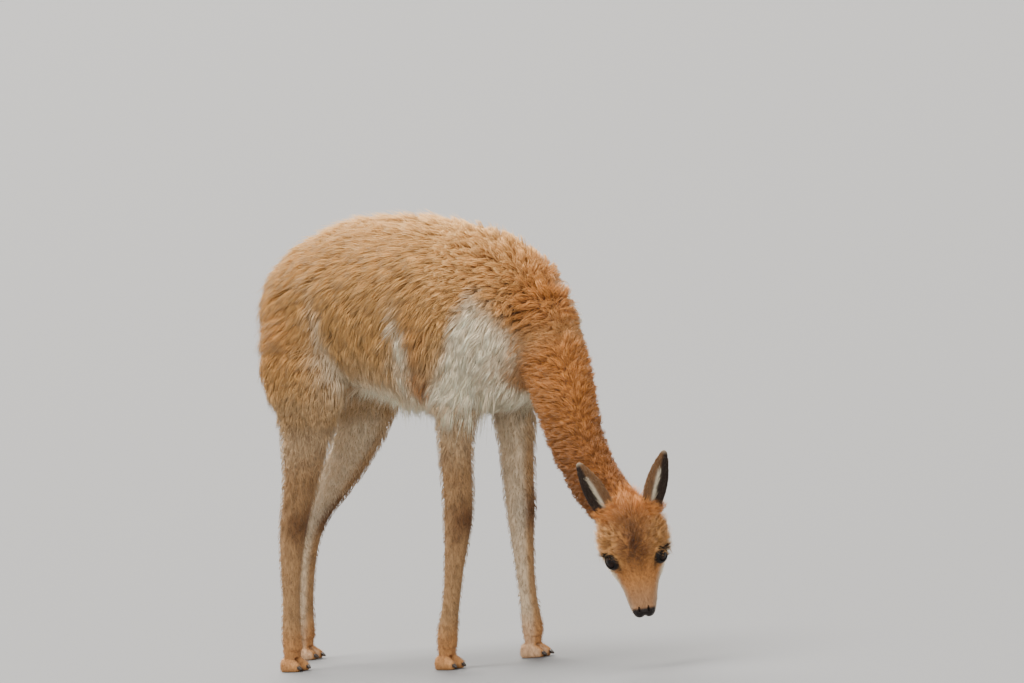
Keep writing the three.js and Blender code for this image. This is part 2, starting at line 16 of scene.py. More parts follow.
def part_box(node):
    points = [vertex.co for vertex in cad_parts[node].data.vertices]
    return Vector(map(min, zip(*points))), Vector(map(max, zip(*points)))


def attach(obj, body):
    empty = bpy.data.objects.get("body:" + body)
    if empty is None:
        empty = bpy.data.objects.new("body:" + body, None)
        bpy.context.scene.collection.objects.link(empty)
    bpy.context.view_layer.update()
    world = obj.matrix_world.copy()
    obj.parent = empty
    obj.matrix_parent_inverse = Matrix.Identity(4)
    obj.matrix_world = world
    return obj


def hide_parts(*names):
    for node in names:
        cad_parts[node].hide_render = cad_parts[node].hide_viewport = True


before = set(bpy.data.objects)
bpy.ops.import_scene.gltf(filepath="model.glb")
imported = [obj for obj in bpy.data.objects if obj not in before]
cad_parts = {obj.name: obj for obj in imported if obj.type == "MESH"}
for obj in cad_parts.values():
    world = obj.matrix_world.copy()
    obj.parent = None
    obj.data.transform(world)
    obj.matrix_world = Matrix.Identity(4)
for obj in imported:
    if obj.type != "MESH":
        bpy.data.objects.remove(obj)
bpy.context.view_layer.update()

bl_info = {
    "name": "Grazing Vicuna",
    "version": (1, 0, 0),
    "blender": (4, 5, 0),
    "location": "3D View > Sidebar > Vicuna",
    "description": "Skin, coat, eyes and toenails of a grazing vicuna",
    "category": "Object",
}

MM = 0.001
CENTIMETRE = 0.01

# Sections of the body in millimetres: middle x, y, z, half width, reach over and under the middle.
# X points where the trunk heads, Y to the animal's left and Z up from the floor.
TRUNK = (
    (-222, 0, 700, 54, 58, 62),
    (-192, 0, 705, 94, 102, 122),
    (-112, 0, 715, 122, 142, 152),
    (0, 0, 725, 131, 161, 148),
    (110, 0, 715, 136, 174, 166),
    (220, 0, 700, 137, 181, 190),
    (320, 0, 690, 131, 172, 188),
    (410, 0, 675, 120, 153, 162),
    (484, 0, 665, 99, 122, 126),
    (520, 0, 665, 68, 80, 88),
)
NECK = (
    (440, 0, 735, 50, 50, 56),
    (500, -4, 690, 66, 72, 84),
    (548, -12, 620, 64, 64, 78),
    (584, -28, 540, 56, 54, 62),
    (610, -42, 463, 51, 51, 53),
    (650, -52, 384, 48, 49, 50),
    (694, -54, 332, 47, 50, 53),
    (728, -46, 298, 42, 48, 51),
)
# Soft throat under the coat, from the end of the neck down behind the jaw
THROAT = (
    (680, -54, 346, 36, 40, 44),
    (722, -48, 300, 40, 44, 50),
    (746, -54, 254, 40, 42, 46),
    (760, -62, 214, 33, 34, 38),
)
HEAD = (
    (-16, 0, 94, 40, 34, 36),
    (-9, 0, 68, 55, 46, 48),
    (-4, 0, 30, 64, 52, 60),
    (0, 0, 0, 58, 47, 64),
    (1, 0, -32, 47, 37, 54),
    (1, 0, -62, 36, 30, 42),
    (0, 0, -88, 31, 26, 32),
    (-1, 0, -104, 26, 21, 25),
)
TAIL = (
    (-198, 0, 800, 20, 16, 16),
    (-246, 0, 768, 26, 15, 14),
    (-266, 0, 705, 33, 13, 12),
    (-274, 0, 650, 30, 11, 10),
)
TOE = (
    (-16, 0, 15, 11, 15, 22),
    (4, 0, 14, 12.5, 19, 20),
    (27, 1, 9, 10.5, 11, 13),
)
PASTERN = (
    (6, 0, 62, 22, 20, 22),
    (2, 0, 30, 22, 20, 20),
)
LEGS = {
    "hind_right": (
        (-70, -70, 712, 48, 74, 74),
        (-94, -90, 652, 58, 106, 104),
        (-102, -90, 600, 54, 104, 100),
        (-97, -88, 528, 43, 74, 76),
        (-112, -87, 488, 38, 58, 62),
        (-134, -86, 428, 34, 46, 48),
        (-156, -85, 367, 29, 36, 38),
        (-178, -85, 315, 26, 32, 36),
        (-192, -85, 280, 25, 31, 35),
        (-207, -85, 226, 22, 25, 28),
        (-217, -85, 165, 20, 19, 20),
        (-227, -85, 104, 20, 19, 21),
        (-232, -85, 66, 23, 22, 24),
        (-230, -85, 40, 22, 20, 22),
    ),
    "hind_left": (
        (-70, 70, 712, 48, 74, 74),
        (-94, 90, 652, 58, 104, 104),
        (-106, 90, 600, 54, 98, 96),
        (-114, 88, 528, 43, 72, 78),
        (-138, 87, 472, 38, 54, 62),
        (-180, 86, 420, 34, 44, 50),
        (-236, 85, 366, 29, 38, 38),
        (-292, 85, 320, 26, 32, 35),
        (-328, 85, 280, 25, 30, 36),
        (-352, 85, 222, 22, 24, 28),
        (-366, 85, 163, 20, 19, 20),
        (-378, 85, 104, 20, 19, 21),
        (-385, 85, 66, 23, 22, 24),
        (-384, 85, 40, 22, 20, 22),
    ),
    "fore_right": (
        (345, -58, 640, 36, 60, 60),
        (330, -70, 540, 35, 50, 52),
        (320, -82, 474, 29, 38, 40),
        (314, -82, 420, 28, 35, 37),
        (308, -81, 370, 27, 33, 34),
        (301, -80, 315, 27, 34, 33),
        (290, -80, 272, 26, 30, 30),
        (275, -80, 225, 21, 23, 24),
        (254, -80, 145, 18, 18, 19),
        (236, -80, 95, 20, 19, 21),
        (226, -80, 64, 23, 22, 25),
        (224, -80, 40, 22, 20, 22),
    ),
    "fore_left": (
        (345, 58, 640, 36, 60, 60),
        (328, 70, 540, 35, 52, 54),
        (318, 82, 460, 31, 42, 42),
        (313, 82, 400, 29, 38, 38),
        (309, 81, 345, 28, 35, 35),
        (308, 80, 300, 27, 34, 33),
        (303, 80, 255, 24, 28, 28),
        (301, 80, 205, 21, 23, 24),
        (300, 80, 145, 18, 18, 19),
        (302, 80, 95, 20, 19, 21),
        (304, 80, 64, 23, 22, 25),
        (303, 80, 40, 22, 20, 22),
    ),
}
# Head, toes and pastern have frames of their own: the head's x points out of the forehead and its z
# from the nose to the poll, a foot's x points to the toes
HEAD_PLACE = (780, -73, 212)
HEAD_TURN = math.radians(-43)
HEAD_TILT = math.radians(2)
EYE_PLACE = (16, 43, 0)
EYE_RADIUS = 15.5
EYE_OUTWARD = math.radians(52)
FEET = {
    "hind_right": ((-239, -85, 0), -6),
    "hind_left": ((-391, 85, 0), 8),
    "fore_right": ((218, -80, 0), -6),
    "fore_left": ((297, 80, 0), 6),
}
TOE_OFFSET = 11
CREST_SIDE = (0.75, -0.25, 0.6)
# Ear: root, tip, half width, depth, and shares of these from the root to the tip
EAR_ROOT = (2, 42, 88)
EAR_TIP = (2, 86, 200)
EAR_HALF_WIDTH = 27
EAR_DEPTH = 13
EAR_WALL = 3.4
EAR_TURN = 0.42
EAR_CUP_SHIFT = 6
EAR_LEAF = ((0, 0.62, 1), (0.2, 0.86, 1), (0.45, 1, 0.9), (0.7, 0.78, 0.65), (0.88, 0.42, 0.4))
# Swellings of the face: place and radii, mirrored to both sides where y isn't 0
SWELLINGS = (
    ((8, 37, 9), (22, 20, 21)),
    ((-24, 30, -10), (32, 20, 40)),
    ((6, 9, -100), (18, 15, 18)),
    ((-17, 0, -96), (11, 15, 16)),
    ((14, 0, -104), (10, 12, 9)),
)
# Lids: their thickness over the eyeball, half length and half height of the opening between them,
# width of the dark leather round it, and the way from the inner corner of the eye to the outer one
LID_THICKNESS = 2.6
EYE_OPENING = (15.2, 12.4)
LID_RIM = 3.6
EYE_SLANT = (-0.6, 0.45, 0.7)
# How far out of the eye's centre the opening reaches, and the play between eyeball and socket
OPENING_REACH = 15
SOCKET_PLAY = 0.3
# Half width and half height of the pupil, as shares of the eyeball's radius
PUPIL = (0.42, 0.2)
# Lashes of each upper lid: how many, how long and wide, and the degrees round the opening from
# the first to the last
LASH_COUNT = 26
LASH_LENGTH = 21
LASH_WIDTH = 1.1
LASH_ARC = (-12, 138)
# Dark line that runs down the face from the inner corner of the eye
TEAR_DUCT = ((26, 36, -9), (27, 34, -20), (26, 34, -31))
# Place and radii of a nostril
NOSTRIL = ((22, 9, -99), (9, 2.4, 6))
# Grooves of the muzzle: line, width and depth; a line off the middle is on both sides
GROOVES = (
    (((-8, 34, -60), (-10, 30, -86), (-9, 18, -112), (-9, 0, -120)), 2.2, 3),
    (((16, 0, -112), (4, 0, -118), (-9, 0, -120)), 2, 2.5),
    (((24, 14, -84), (22, 17, -96), (12, 16, -108)), 2.5, 1.5),
)
# Depth of the skin under the solids of tail, pasterns, toes and ears
TAIL_INSET = 3
PASTERN_INSET = 3
TOE_INSET = 1.2
EAR_INSET = 1.5
# The soles are flat at this height over the floor
SOLE_HEIGHT = 0.6

FLESH_PARTS = ("torso", "neck", "head", "tail", "thigh", "leg", "foot", "ear")
FLESH = [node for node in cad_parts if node.split("_")[0] in FLESH_PARTS]


def turn(axis, angle):
    return Matrix.Rotation(angle, 4, axis)


def mirrored(point, side):
    """A point told for the left side, where side is 1, or its mirror image, where it is -1"""
    return (point[0], side * point[1], point[2])


def sides_of(*points):
    """Both sides, or only one where all the points lie on the middle"""
    return (-1, 1) if any(point[1] for point in points) else (1,)


HEAD_AXES = turn("Z", HEAD_TURN) @ turn("X", HEAD_TILT)


def body_origin():
    """Place of the body's own origin in the frame, found from the middle between the eyes"""
    corners = [corner for side in ("left", "right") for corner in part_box(f"eye_{side}")]
    middle = sum(corners, Vector()) / len(corners)
    ahead = HEAD_AXES @ Vector((EYE_PLACE[0], 0, EYE_PLACE[2]))
    origin = middle - (Vector(HEAD_PLACE) + ahead) * MM
    return Vector((origin.x, origin.y, 0))


# Frames in metres of things that are given in millimetres
BODY_FRAME = Matrix.Translation(body_origin()) @ Matrix.Scale(MM, 4)
HEAD_FRAME = BODY_FRAME @ Matrix.Translation(HEAD_PLACE) @ HEAD_AXES


def foot_frame(name):
    place, degrees = FEET[name]
    return BODY_FRAME @ Matrix.Translation(place) @ turn("Z", math.radians(degrees))


def eye_outward(side):
    return Vector((math.cos(EYE_OUTWARD), side * math.sin(EYE_OUTWARD), 0))


def eye_axes(side):
    """Along the eye from its inner corner, across it, and out of the head, as the columns of a matrix"""
    outward = eye_outward(side)
    along = Vector(mirrored(EYE_SLANT, side))
    along = (along - outward * along.dot(outward)).normalized()
    return Matrix((along, outward.cross(along), outward)).transposed()


def eye_centre(side):
    return Vector(mirrored(EYE_PLACE, side))


def unit(vectors):
    return vectors / np.maximum(np.linalg.norm(vectors, axis=-1, keepdims=True), 1e-9)


def smooth(low, high, values):
    """0 below low, 1 above high and a soft step between; high may be the lower one"""
    share = np.clip((values - low) / (high - low), 0, 1)
    return share * share * (3 - 2 * share)


def mixed(first, second, share):
    return first + (second - first) * share[..., None]


def in_frame(points, matrix):
    """Points in metres told in one of the frames above, in millimetres"""
    inverse = np.array(matrix.inverted())
    return points @ inverse[:3, :3].T + inverse[:3, 3]


def nearest_on_line(points, line):
    """Distance of each point to a bent line, the share of the way along it, and its direction there"""
    line = np.array(line, float)
    best = np.full(len(points), np.inf)
    share = np.zeros(len(points))
    way = np.zeros_like(points)
    for i, (start, end) in enumerate(zip(line[:-1], line[1:])):
        run = end - start
        t = np.clip((points - start) @ run / (run @ run), 0, 1)
        distance = np.linalg.norm(points - start - t[:, None] * run, axis=1)
        closer = distance < best
        best[closer] = distance[closer]
        share[closer] = (i + t[closer]) / (len(line) - 1)
        way[closer] = run / np.linalg.norm(run)
    return best, share, way


def middles(sections):
    return [section[:3] for section in sections]


# Arrays of a mesh's values


def read_array(items, name, width, kind=float):
    """One property of all of a mesh's items, with a row for each"""
    values = np.empty(len(items) * width, kind)
    items.foreach_get(name, values)
    return values.reshape(-1, width)


def paint(mesh, name, colours):
    """Gives each vertex a colour, under the name by which a material reads it"""
    layer = mesh.color_attributes.new(name, "FLOAT_COLOR", "POINT")
    opaque = np.ones((*colours.shape[:-1], 1))
    layer.data.foreach_set("color", np.concatenate([colours, opaque], -1).ravel())


# Making surfaces by operators


def deselect():
    if bpy.context.mode != "OBJECT":
        bpy.ops.object.mode_set(mode="OBJECT")
    bpy.ops.object.select_all(action="DESELECT")


def choose(*pieces):
    """Only these pieces selected, the first of them active"""
    deselect()
    for piece in pieces:
        piece.select_set(True)
    bpy.context.view_layer.objects.active = pieces[0]
    return pieces[0]


def apply_modifier(piece, kind, **settings):
    choose(piece)
    modifier = piece.modifiers.new(kind.title(), kind)
    for name, value in settings.items():
        setattr(modifier, name, value)
    bpy.ops.object.modifier_apply(modifier=modifier.name)


def settle(piece):
    """Moves a piece's place, turn and scale into its mesh"""
    choose(piece)
    bpy.ops.object.transform_apply(location=True, rotation=True, scale=True)


def join(pieces, name):
    piece = choose(*pieces)
    bpy.ops.object.join()
    piece.name = name
    return piece


def pick_vertices(piece, chosen):
    """In edit mode, selects just the vertices with these numbers"""
    mesh = bmesh.from_edit_mesh(piece.data)
    mesh.verts.ensure_lookup_table()
    for vertex in mesh.verts:
        vertex.select = False
    mesh.select_flush(False)
    for number in chosen:
        mesh.verts[number].select = True
    mesh.select_flush(True)
    bmesh.update_edit_mesh(piece.data)


# Where the rings of a rounded end are, as angles from its widest ring to its tip
END_RINGS = (30, 60, 80)


def oval_rings(sections, facing, ends, inset):
    """Frame of each oval through the sections, with smaller ones that round off each end"""
    centres = [Vector(section[:3]) for section in sections]
    last = len(centres) - 1
    rings = []
    for i, (centre, (*_, half, over, under)) in enumerate(zip(centres, sections)):
        along = (centres[min(i + 1, last)] - centres[max(i - 1, 0)]).normalized()
        up = (Vector(facing) - along * along.dot(Vector(facing))).normalized()
        middle = centre + up * (over - under) / 2
        rings.append((middle, up.cross(along), up, along, half - inset, (over + under) / 2 - inset))
    for end, way, length in ((0, -1, ends[0]), (-1, 1, ends[1])):
        middle, left, up, along, half, reach = rings[end]
        for degrees in END_RINGS:
            angle = math.radians(degrees)
            offset = along * way * (length - inset) * math.sin(angle)
            smaller = math.cos(angle)
            ring = (middle + offset, left, up, along, half * smaller, reach * smaller)
            rings.insert(0 if end == 0 else len(rings), ring)
    return rings


def loft(name, sections, facing, ends, inset=0.0, place=BODY_FRAME, sides=20):
    """Closed form bridged through oval rings and then subdivided"""
    rings = oval_rings(sections, facing, ends, inset)
    deselect()
    bpy.ops.object.add(type="MESH")
    piece = bpy.context.object
    piece.name = name
    bpy.ops.object.mode_set(mode="EDIT")
    bpy.ops.mesh.select_mode(type="VERT")
    for middle, left, up, along, half, reach in rings:
        axes = Matrix((left, up, along)).transposed()
        bpy.ops.mesh.select_all(action="DESELECT")
        turned = axes.to_euler()
        bpy.ops.mesh.primitive_circle_add(vertices=sides, radius=1, location=middle, rotation=turned)
        bpy.ops.transform.resize(
            value=(half, reach, 1),
            orient_type="GLOBAL",
            orient_matrix=axes,
            orient_matrix_type="GLOBAL",
            center_override=middle,
        )
    for i in range(len(rings) - 1):
        pick_vertices(piece, range(i * sides, (i + 2) * sides))
        bpy.ops.mesh.bridge_edge_loops()
    for i in (0, len(rings) - 1):
        pick_vertices(piece, range(i * sides, (i + 1) * sides))
        bpy.ops.mesh.edge_face_add()
    bpy.ops.mesh.select_all(action="SELECT")
    bpy.ops.mesh.normals_make_consistent(inside=False)
    bpy.ops.object.mode_set(mode="OBJECT")
    apply_modifier(piece, "SUBSURF", levels=2, render_levels=2)
    piece.matrix_world = place
    settle(piece)
    return piece


def ball(name, centre, radii, place=BODY_FRAME, segments=32):
    """Oval ball with its poles along z"""
    deselect()
    bpy.ops.mesh.primitive_uv_sphere_add(
        segments=segments, ring_count=segments // 2, radius=1, location=centre, scale=radii
    )
    piece = bpy.context.object
    piece.name = name
    settle(piece)
    piece.matrix_world = place
    settle(piece)
    return piece


def combine(piece, other, operation):
    """Adds another closed form to a piece, or takes it away, and removes the other one"""
    apply_modifier(piece, "BOOLEAN", object=other, operation=operation, solver="MANIFOLD")
    bpy.data.objects.remove(other)
    return piece


def remeshed(pieces, name, voxel, smoothing):
    """One closed surface round all the pieces"""
    piece = join(pieces, name)
    apply_modifier(piece, "REMESH", mode="VOXEL", voxel_size=voxel * MM)
    apply_modifier(piece, "SMOOTH", factor=0.5, iterations=smoothing)
    return piece


# The coat's layout

# Middle line of each ear in the head's frame
EAR_LINES = {side: (mirrored(EAR_ROOT, side), mirrored(EAR_TIP, side)) for side in (-1, 1)}


def ear_facing(side):
    """Way that the hollow of an ear looks, in the head's frame"""
    return unit(np.array((1.0, side * EAR_TURN, 0.0)))


# Ways that the hair lies
DOWN = np.array((0.0, 0.0, -1.0))
BACK_LIE = unit(np.array((-1.0, 0.0, -0.25)))
FLANK_LIE = unit(np.array((-0.42, 0.0, -1.0)))
BIB_LIE = unit(np.array((-0.77, 0.0, -0.64)))
LEG_LIE = np.array((-0.12, 0.0, -1.0))
# Size of the soft waves in which the edges of the markings wander, and how far they do
WANDER_SIZE = 130
WANDER = 16
# Distance from a leg's middle line within which the skin is the leg's
LEG_REACH = (80, 60)
# Heights between which leg hair turns into fleece
LEG_TOPS = {"hind": (570, 470), "fore": (560, 500)}


class Places:
    """Points of the skin in the body's and the head's frame, with the weight of each region there"""

    def __init__(self, points, normals):
        self.body = in_frame(points, BODY_FRAME)
        self.head = in_frame(points, HEAD_FRAME)
        self.normals = normals
        self.find_ears()
        head_x, _, head_z = self.head.T
        x, _, z = self.body.T
        on_face = smooth(8, -8, -head_x - 38 + (head_z - 60) * 0.35)
        self.face = np.maximum(on_face * smooth(420, 400, z), self.ear)
        distance, self.neck_share, self.neck_way = nearest_on_line(self.body, middles(NECK))
        near_neck = smooth(112, 88, distance) * smooth(0.16, 0.36, self.neck_share)
        self.neck = near_neck * (1 - self.face)
        self.find_legs()
        distance, _, self.tail_way = nearest_on_line(self.body, middles(TAIL))
        self.tail = smooth(44, 34, distance) * smooth(-222, -236, x) * smooth(800, 780, z)
        self.trunk = (1 - self.face) * (1 - self.neck) * (1 - self.leg) * (1 - self.tail)

    def find_ears(self):
        """Weight of the ears, share of the way to the tip, and places across and round the leaf"""
        count = len(self.head)
        self.ear, self.ear_share = np.zeros(count), np.zeros(count)
        self.ear_across, self.ear_opening = np.zeros(count), np.zeros(count)
        head_normals = self.normals @ np.array(HEAD_AXES.to_3x3())
        for side, line in EAR_LINES.items():
            distance, share, way = nearest_on_line(self.head, line)
            here = smooth(34, 24, distance) * smooth(0.02, 0.14, share)
            facing = ear_facing(side)
            outward = unit(np.cross(way[0], facing)) * side
            near = here > 0
            self.ear = np.maximum(self.ear, here)
            self.ear_share[near] = share[near]
            self.ear_across[near] = ((self.head - np.array(line[0])) @ outward)[near]
            self.ear_opening[near] = (head_normals @ facing)[near]

    def find_legs(self):
        """Weights of the legs' short hair and of the thighs over them"""
        x, _, z = self.body.T
        self.leg, self.thigh = np.zeros(len(x)), np.zeros(len(x))
        for name, sections in LEGS.items():
            end = name.split("_")[0]
            distance, _, _ = nearest_on_line(self.body, middles(sections))
            self.leg = np.maximum(self.leg, smooth(*LEG_REACH, distance) * smooth(*LEG_TOPS[end], z))
            if end == "hind":
                outer = smooth(150, 110, distance) * smooth(700, 640, z) * smooth(80, 20, x)
                self.thigh = np.maximum(self.thigh, outer)
        self.thigh *= 1 - self.leg

    def wander(self):
        """How far the edge of a marking strays at each point"""
        return ripple(self.body, WANDER_SIZE, 5) * WANDER

    def throat(self, start, end):
        """Share of the underside of head and neck, by how far the skin turns from the crest"""
        return smooth(start, end, -self.normals @ unit(np.array(CREST_SIDE)))

    def bare(self):
        """Share of bare leather: nose, lips and the rims of the lids"""
        head_x, _, head_z = self.head.T
        nose = smooth(-94, -101, head_z) * smooth(4, 12, head_x)
        lips = np.exp(-(((head_x + 9) / 3.5) ** 2)) * smooth(-84, -98, head_z)
        leather = np.maximum(nose, lips)
        for side in (-1, 1):
            along, across, out = ((self.head - np.array(eye_centre(side))) @ np.array(eye_axes(side))).T
            ring = np.hypot(along / (EYE_OPENING[0] + LID_RIM), across / (EYE_OPENING[1] + LID_RIM))
            leather = np.maximum(leather, smooth(1.12, 0.98, ring) * smooth(0, 4, out))
        return leather * self.face

    def ear_back(self):
        """Where short hair grows on the ears: all but their tips"""
        return self.ear * smooth(0.86, 0.78, self.ear_share)

    def ear_streak(self):
        """Pale hair that lines the inner edge of the ear's hollow"""
        line = np.exp(-(((self.ear_across + 3) / 3.6) ** 2)) * smooth(0.7, 0.5, self.ear_share)
        return line * smooth(0.1, 0.4, self.ear_opening) * self.ear

    def short_face(self):
        """Where the hair of the head is short: muzzle, round the eyes and the backs of the cheeks"""
        return self.face * (1 - self.ear) * (1 - self.bare()) * (1 - 0.7 * self.fuzz())

    def fuzz(self):
        """Where the hair of the head stands up: forehead, cheeks and throat"""
        head_x, _, head_z = self.head.T
        dome = smooth(-38, 0, head_z)
        cheek = smooth(4, -18, head_x) * smooth(-60, -20, head_z)
        return np.maximum(dome, cheek) * (1 - self.ear) * (1 - self.bare()) * self.face

    def fuzz_length(self):
        """How long that hair is: longest at the temples and behind the jaw"""
        head_x, head_y, head_z = self.head.T
        temple = smooth(24, 44, np.abs(head_y)) * smooth(-10, 20, head_z) * smooth(80, 50, head_z)
        jaw = smooth(0, -24, head_x) * smooth(-50, 0, head_z)
        return (0.4 + 0.35 * smooth(-30, 16, head_z)) + 0.45 * np.maximum(temple, jaw)

    def neck_length(self):
        """How long the fleece of the neck is: shorter toward the head, long again at the throat"""
        return 1 - 0.4 * smooth(0.45, 0.85, self.neck_share) * (1 - self.throat(0.2, 0.8))

    def poll(self):
        """Where the tuft between the ears grows"""
        head_x, head_y, head_z = self.head.T
        middle = smooth(36, 20, np.abs(head_y)) * smooth(56, 82, head_z) * smooth(-24, -8, head_x)
        return middle * (1 - self.ear) * self.face

    def bib(self):
        """The pale bib: chest, and up the side before the shoulder"""
        x, y, z = self.body.T
        wander = self.wander()
        top = np.minimum(564 + (x - 256) * 1.04, 757 - (x - 441) * np.where(y < 0, 0.93, 0.3))
        return smooth(-10, 55, top - z + wander) * smooth(556, 530, x + wander * 0.3) * self.trunk

    def curly(self):
        """Where the fleece stands in curls: withers and shoulders"""
        x, _, z = self.body.T
        return smooth(300, 420, x + (z - 700) * 0.2) * smooth(600, 680, z) * (1 - 0.9 * self.bib())

    def flat_fleece(self):
        """Where the fleece lies flat: the trunk, but for its curls and the thighs"""
        return self.trunk * (1 - self.thigh) * (1 - self.curly())

    def thigh_length(self):
        """How long the fleece of the thighs is, shorter where the leg begins"""
        return 0.45 + 0.55 * smooth(490, 600, self.body[:, 2])

    def foot_share(self):
        """Share of toes and pastern, by the height"""
        return smooth(78, 46, self.body[:, 2])

    def foot(self):
        """Where the finer hair of the feet grows"""
        return self.leg * self.foot_share()

    def shank(self):
        """Where the longer hair of the legs grows, above the feet"""
        return self.leg * (1 - self.foot_share())

    def foot_length(self):
        """How long the hair of the feet is: none on the sole"""
        z = self.body[:, 2]
        return smooth(1, 7, z) * (0.8 + 0.4 * smooth(30, 70, z))

    def leg_length(self):
        """How long the hair of the legs is: longest at the top"""
        z = self.body[:, 2]
        return 0.6 + 0.4 * smooth(240, 400, z) + 0.5 * smooth(400, 520, z)

    def fringe_length(self):
        """How long the locks are: short under the belly and long where they hang from the side"""
        z = self.body[:, 2]
        return (0.3 + 0.7 * smooth(520, 610, z)) * (1 - 0.5 * smooth(620, 690, z))

    def face_length(self):
        """How long the short hair of the head is, from the muzzle to the cheeks"""
        return 0.35 + 0.65 * smooth(-80, 0, self.head[:, 2])

    def fringe(self):
        """Where long locks grow: chest, edge of the belly and fold of the flank"""
        x, _, z = self.body.T
        normal_x, normal_y, up = self.normals.T
        outward = normal_x + 0.6 * np.abs(normal_y)
        chest = smooth(380, 480, x) * smooth(720, 640, z) * smooth(0.1, 0.5, outward)
        belly = smooth(600, 560, z) * smooth(-60, 20, x) * smooth(0.15, -0.2, up)
        locks = np.maximum(np.maximum(chest, belly), 0.7 * self.bib())
        return locks * self.trunk * (1 - self.thigh)

    def lie(self):
        """Way that the hair lies at each point"""
        x, _, z = self.body.T
        over = np.clip(self.normals[:, 2], 0, 1) ** 0.7
        way = mixed(np.broadcast_to(FLANK_LIE, self.body.shape), BACK_LIE, over)
        bib = smooth(380, 520, x + (640 - z) * 0.35) * smooth(740, 640, z)
        way = mixed(way, BIB_LIE, bib * self.trunk)
        crest = np.array(CREST_SIDE) - self.neck_way * (self.neck_way @ np.array(CREST_SIDE))[:, None]
        way = mixed(way, unit(-unit(crest) - 0.5 * self.neck_way), self.neck)
        way = mixed(way, LEG_LIE, self.leg)
        way = mixed(way, self.tail_way, self.tail)
        return unit(self.lie_on_head(way))

    def lie_on_head(self, way):
        """The ways, with those of the head put in: a whorl on the forehead, and up the ears"""
        axes = np.array(HEAD_AXES.to_3x3())
        head_x, head_y, head_z = self.head.T
        dome = smooth(-10, 12, head_z) * smooth(-10, 20, head_x)
        up = 1 - dome * smooth(50, 0, head_z)
        on_head = np.stack([-0.2 - 0.5 * smooth(10, -40, head_x), head_y * (0.02 + 0.03 * dome), up], -1)
        way = mixed(way, on_head @ axes.T, self.face)
        for side, (root, tip) in EAR_LINES.items():
            toward = unit(np.array(tip, float) - np.array(root)) @ axes.T
            way = mixed(way, toward, self.ear * (np.sign(head_y) == side))
        return way


def linear(red, green, blue):
    """Colour told in screen values from 0 to 255, as linear light"""
    return np.array([(value / 255) ** 2.2 for value in (red, green, blue)])


def ripple(points, size, seed):
    """Soft random pattern between -1 and 1, about size millimetres from crest to crest"""
    random = np.random.default_rng(seed)
    total = np.zeros(len(points))
    for _ in range(6):
        way = unit(random.normal(size=3)) * random.uniform(0.7, 1.5) * 2 * math.pi / size
        total += np.sin(points @ way + random.uniform(0, 2 * math.pi))
    return np.clip(total / 3, -1, 1)


# Height of the middle of the dark knees and hocks
KNEE_HEIGHT = 296
# Soft spots of another colour on the body: middle, radii, colour and strength, on both sides
SPOTS = (
    ((290, 124, 672), (34, 60, 66), "rust", 0.45),
    ((256, 124, 672), (17, 60, 56), "cream", 1.0),
    ((222, 96, 602), (17, 60, 44), "cream", 0.9),
    ((272, 84, 590), (22, 50, 30), "orange", 1.0),
    ((14, 120, 706), (18, 50, 60), "cream", 0.5),
    ((0, 70, 630), (26, 60, 60), "cream", 0.75),
    ((-95, 126, 690), (70, 60, 60), "rust", 0.4),
    ((-118, 60, 650), (60, 60, 60), "rust", 0.3),
)


class Tint:
    """Colour at each of a number of points, to which the settings' colours are added by their names"""

    def __init__(self, colours, name, count):
        self.colours = colours
        self.value = np.tile(self.named(name), (count, 1))

    def named(self, name):
        return np.array(getattr(self.colours, name))

    def add(self, name, share):
        self.value = mixed(self.value, self.named(name), share)


def markings(places, colours):
    """Colour of the coat at each point"""
    x, y, z = places.body.T
    normal_x, normal_y, up = places.normals.T
    wander = places.wander()
    coat = Tint(colours, "back", len(x))
    shoulder = smooth(330, 520, x + wander) * smooth(640, 720, z)
    neck_base = smooth(440, 545, x + wander) * smooth(600, 680, z)
    coat.add("rust", np.maximum(np.maximum(shoulder * 0.35, 0.9 * neck_base), places.neck))
    # The neck darker toward the head: painted shade of the low neck
    coat.add("shaded_nape", 0.75 * smooth(0.4, 0.75, places.neck_share) * places.neck)
    coat.add("flank", 0.7 * smooth(700, 560, z + wander) * smooth(-40, 60, x) * places.trunk)
    chest_strip = 0.8 * smooth(10, 34, y) * smooth(470, 500, x) * smooth(760, 720, z) * smooth(590, 640, z)
    belly = smooth(-0.35, -0.85, up) * smooth(640, 580, z) * (1 - places.neck)
    cream = np.maximum(np.maximum(places.bib(), belly), chest_strip)
    cream *= (1 - places.leg) * (1 - places.thigh) * (1 - places.face)
    coat.add("cream", cream * (0.88 + 0.12 * ripple(places.body, 15, 3)))
    coat.add("leg", places.leg)
    leg_top = smooth(380, 480, z) * np.maximum(places.leg, places.thigh * smooth(620, 530, z))
    coat.add("flank", 0.55 * leg_top)
    left = np.stack([x, np.abs(y), z], -1)
    for middle, radii, name, strength in SPOTS:
        apart = (((left - np.array(middle)) / np.array(radii)) ** 2).sum(-1)
        coat.add(name, strength * np.exp(-apart) * (1 - places.neck) * (1 - places.leg))
    knee = np.exp(-(((z - KNEE_HEIGHT) / 38) ** 2)) * smooth(-0.3, 0.6, normal_x)
    coat.add("brown", 0.75 * knee * places.leg)
    blotches = smooth(0.1, 0.9, ripple(places.body, 36, 7)) * smooth(150, 260, z)
    coat.add("brown", 0.3 * blotches * places.leg)
    inner = smooth(0.2, 0.9, -np.sign(y) * normal_y)
    rear = smooth(0.2, 0.9, -normal_x) * smooth(260, 400, z)
    paler = np.maximum(inner, 0.56 * rear)
    coat.add("cream", 0.35 * paler * np.maximum(places.leg, 0.7 * places.thigh))
    coat.add("orange", 0.35 * smooth(110, 40, z) * places.leg)
    coat.add("flank", 0.6 * places.tail)
    throat = places.throat(0.2, 0.9) * places.neck
    coat.add("back", 0.25 * throat)
    coat.add("flank", 0.6 * throat * smooth(0.78, 1, places.neck_share))
    return mixed(coat.value, face_markings(places, colours), places.face)


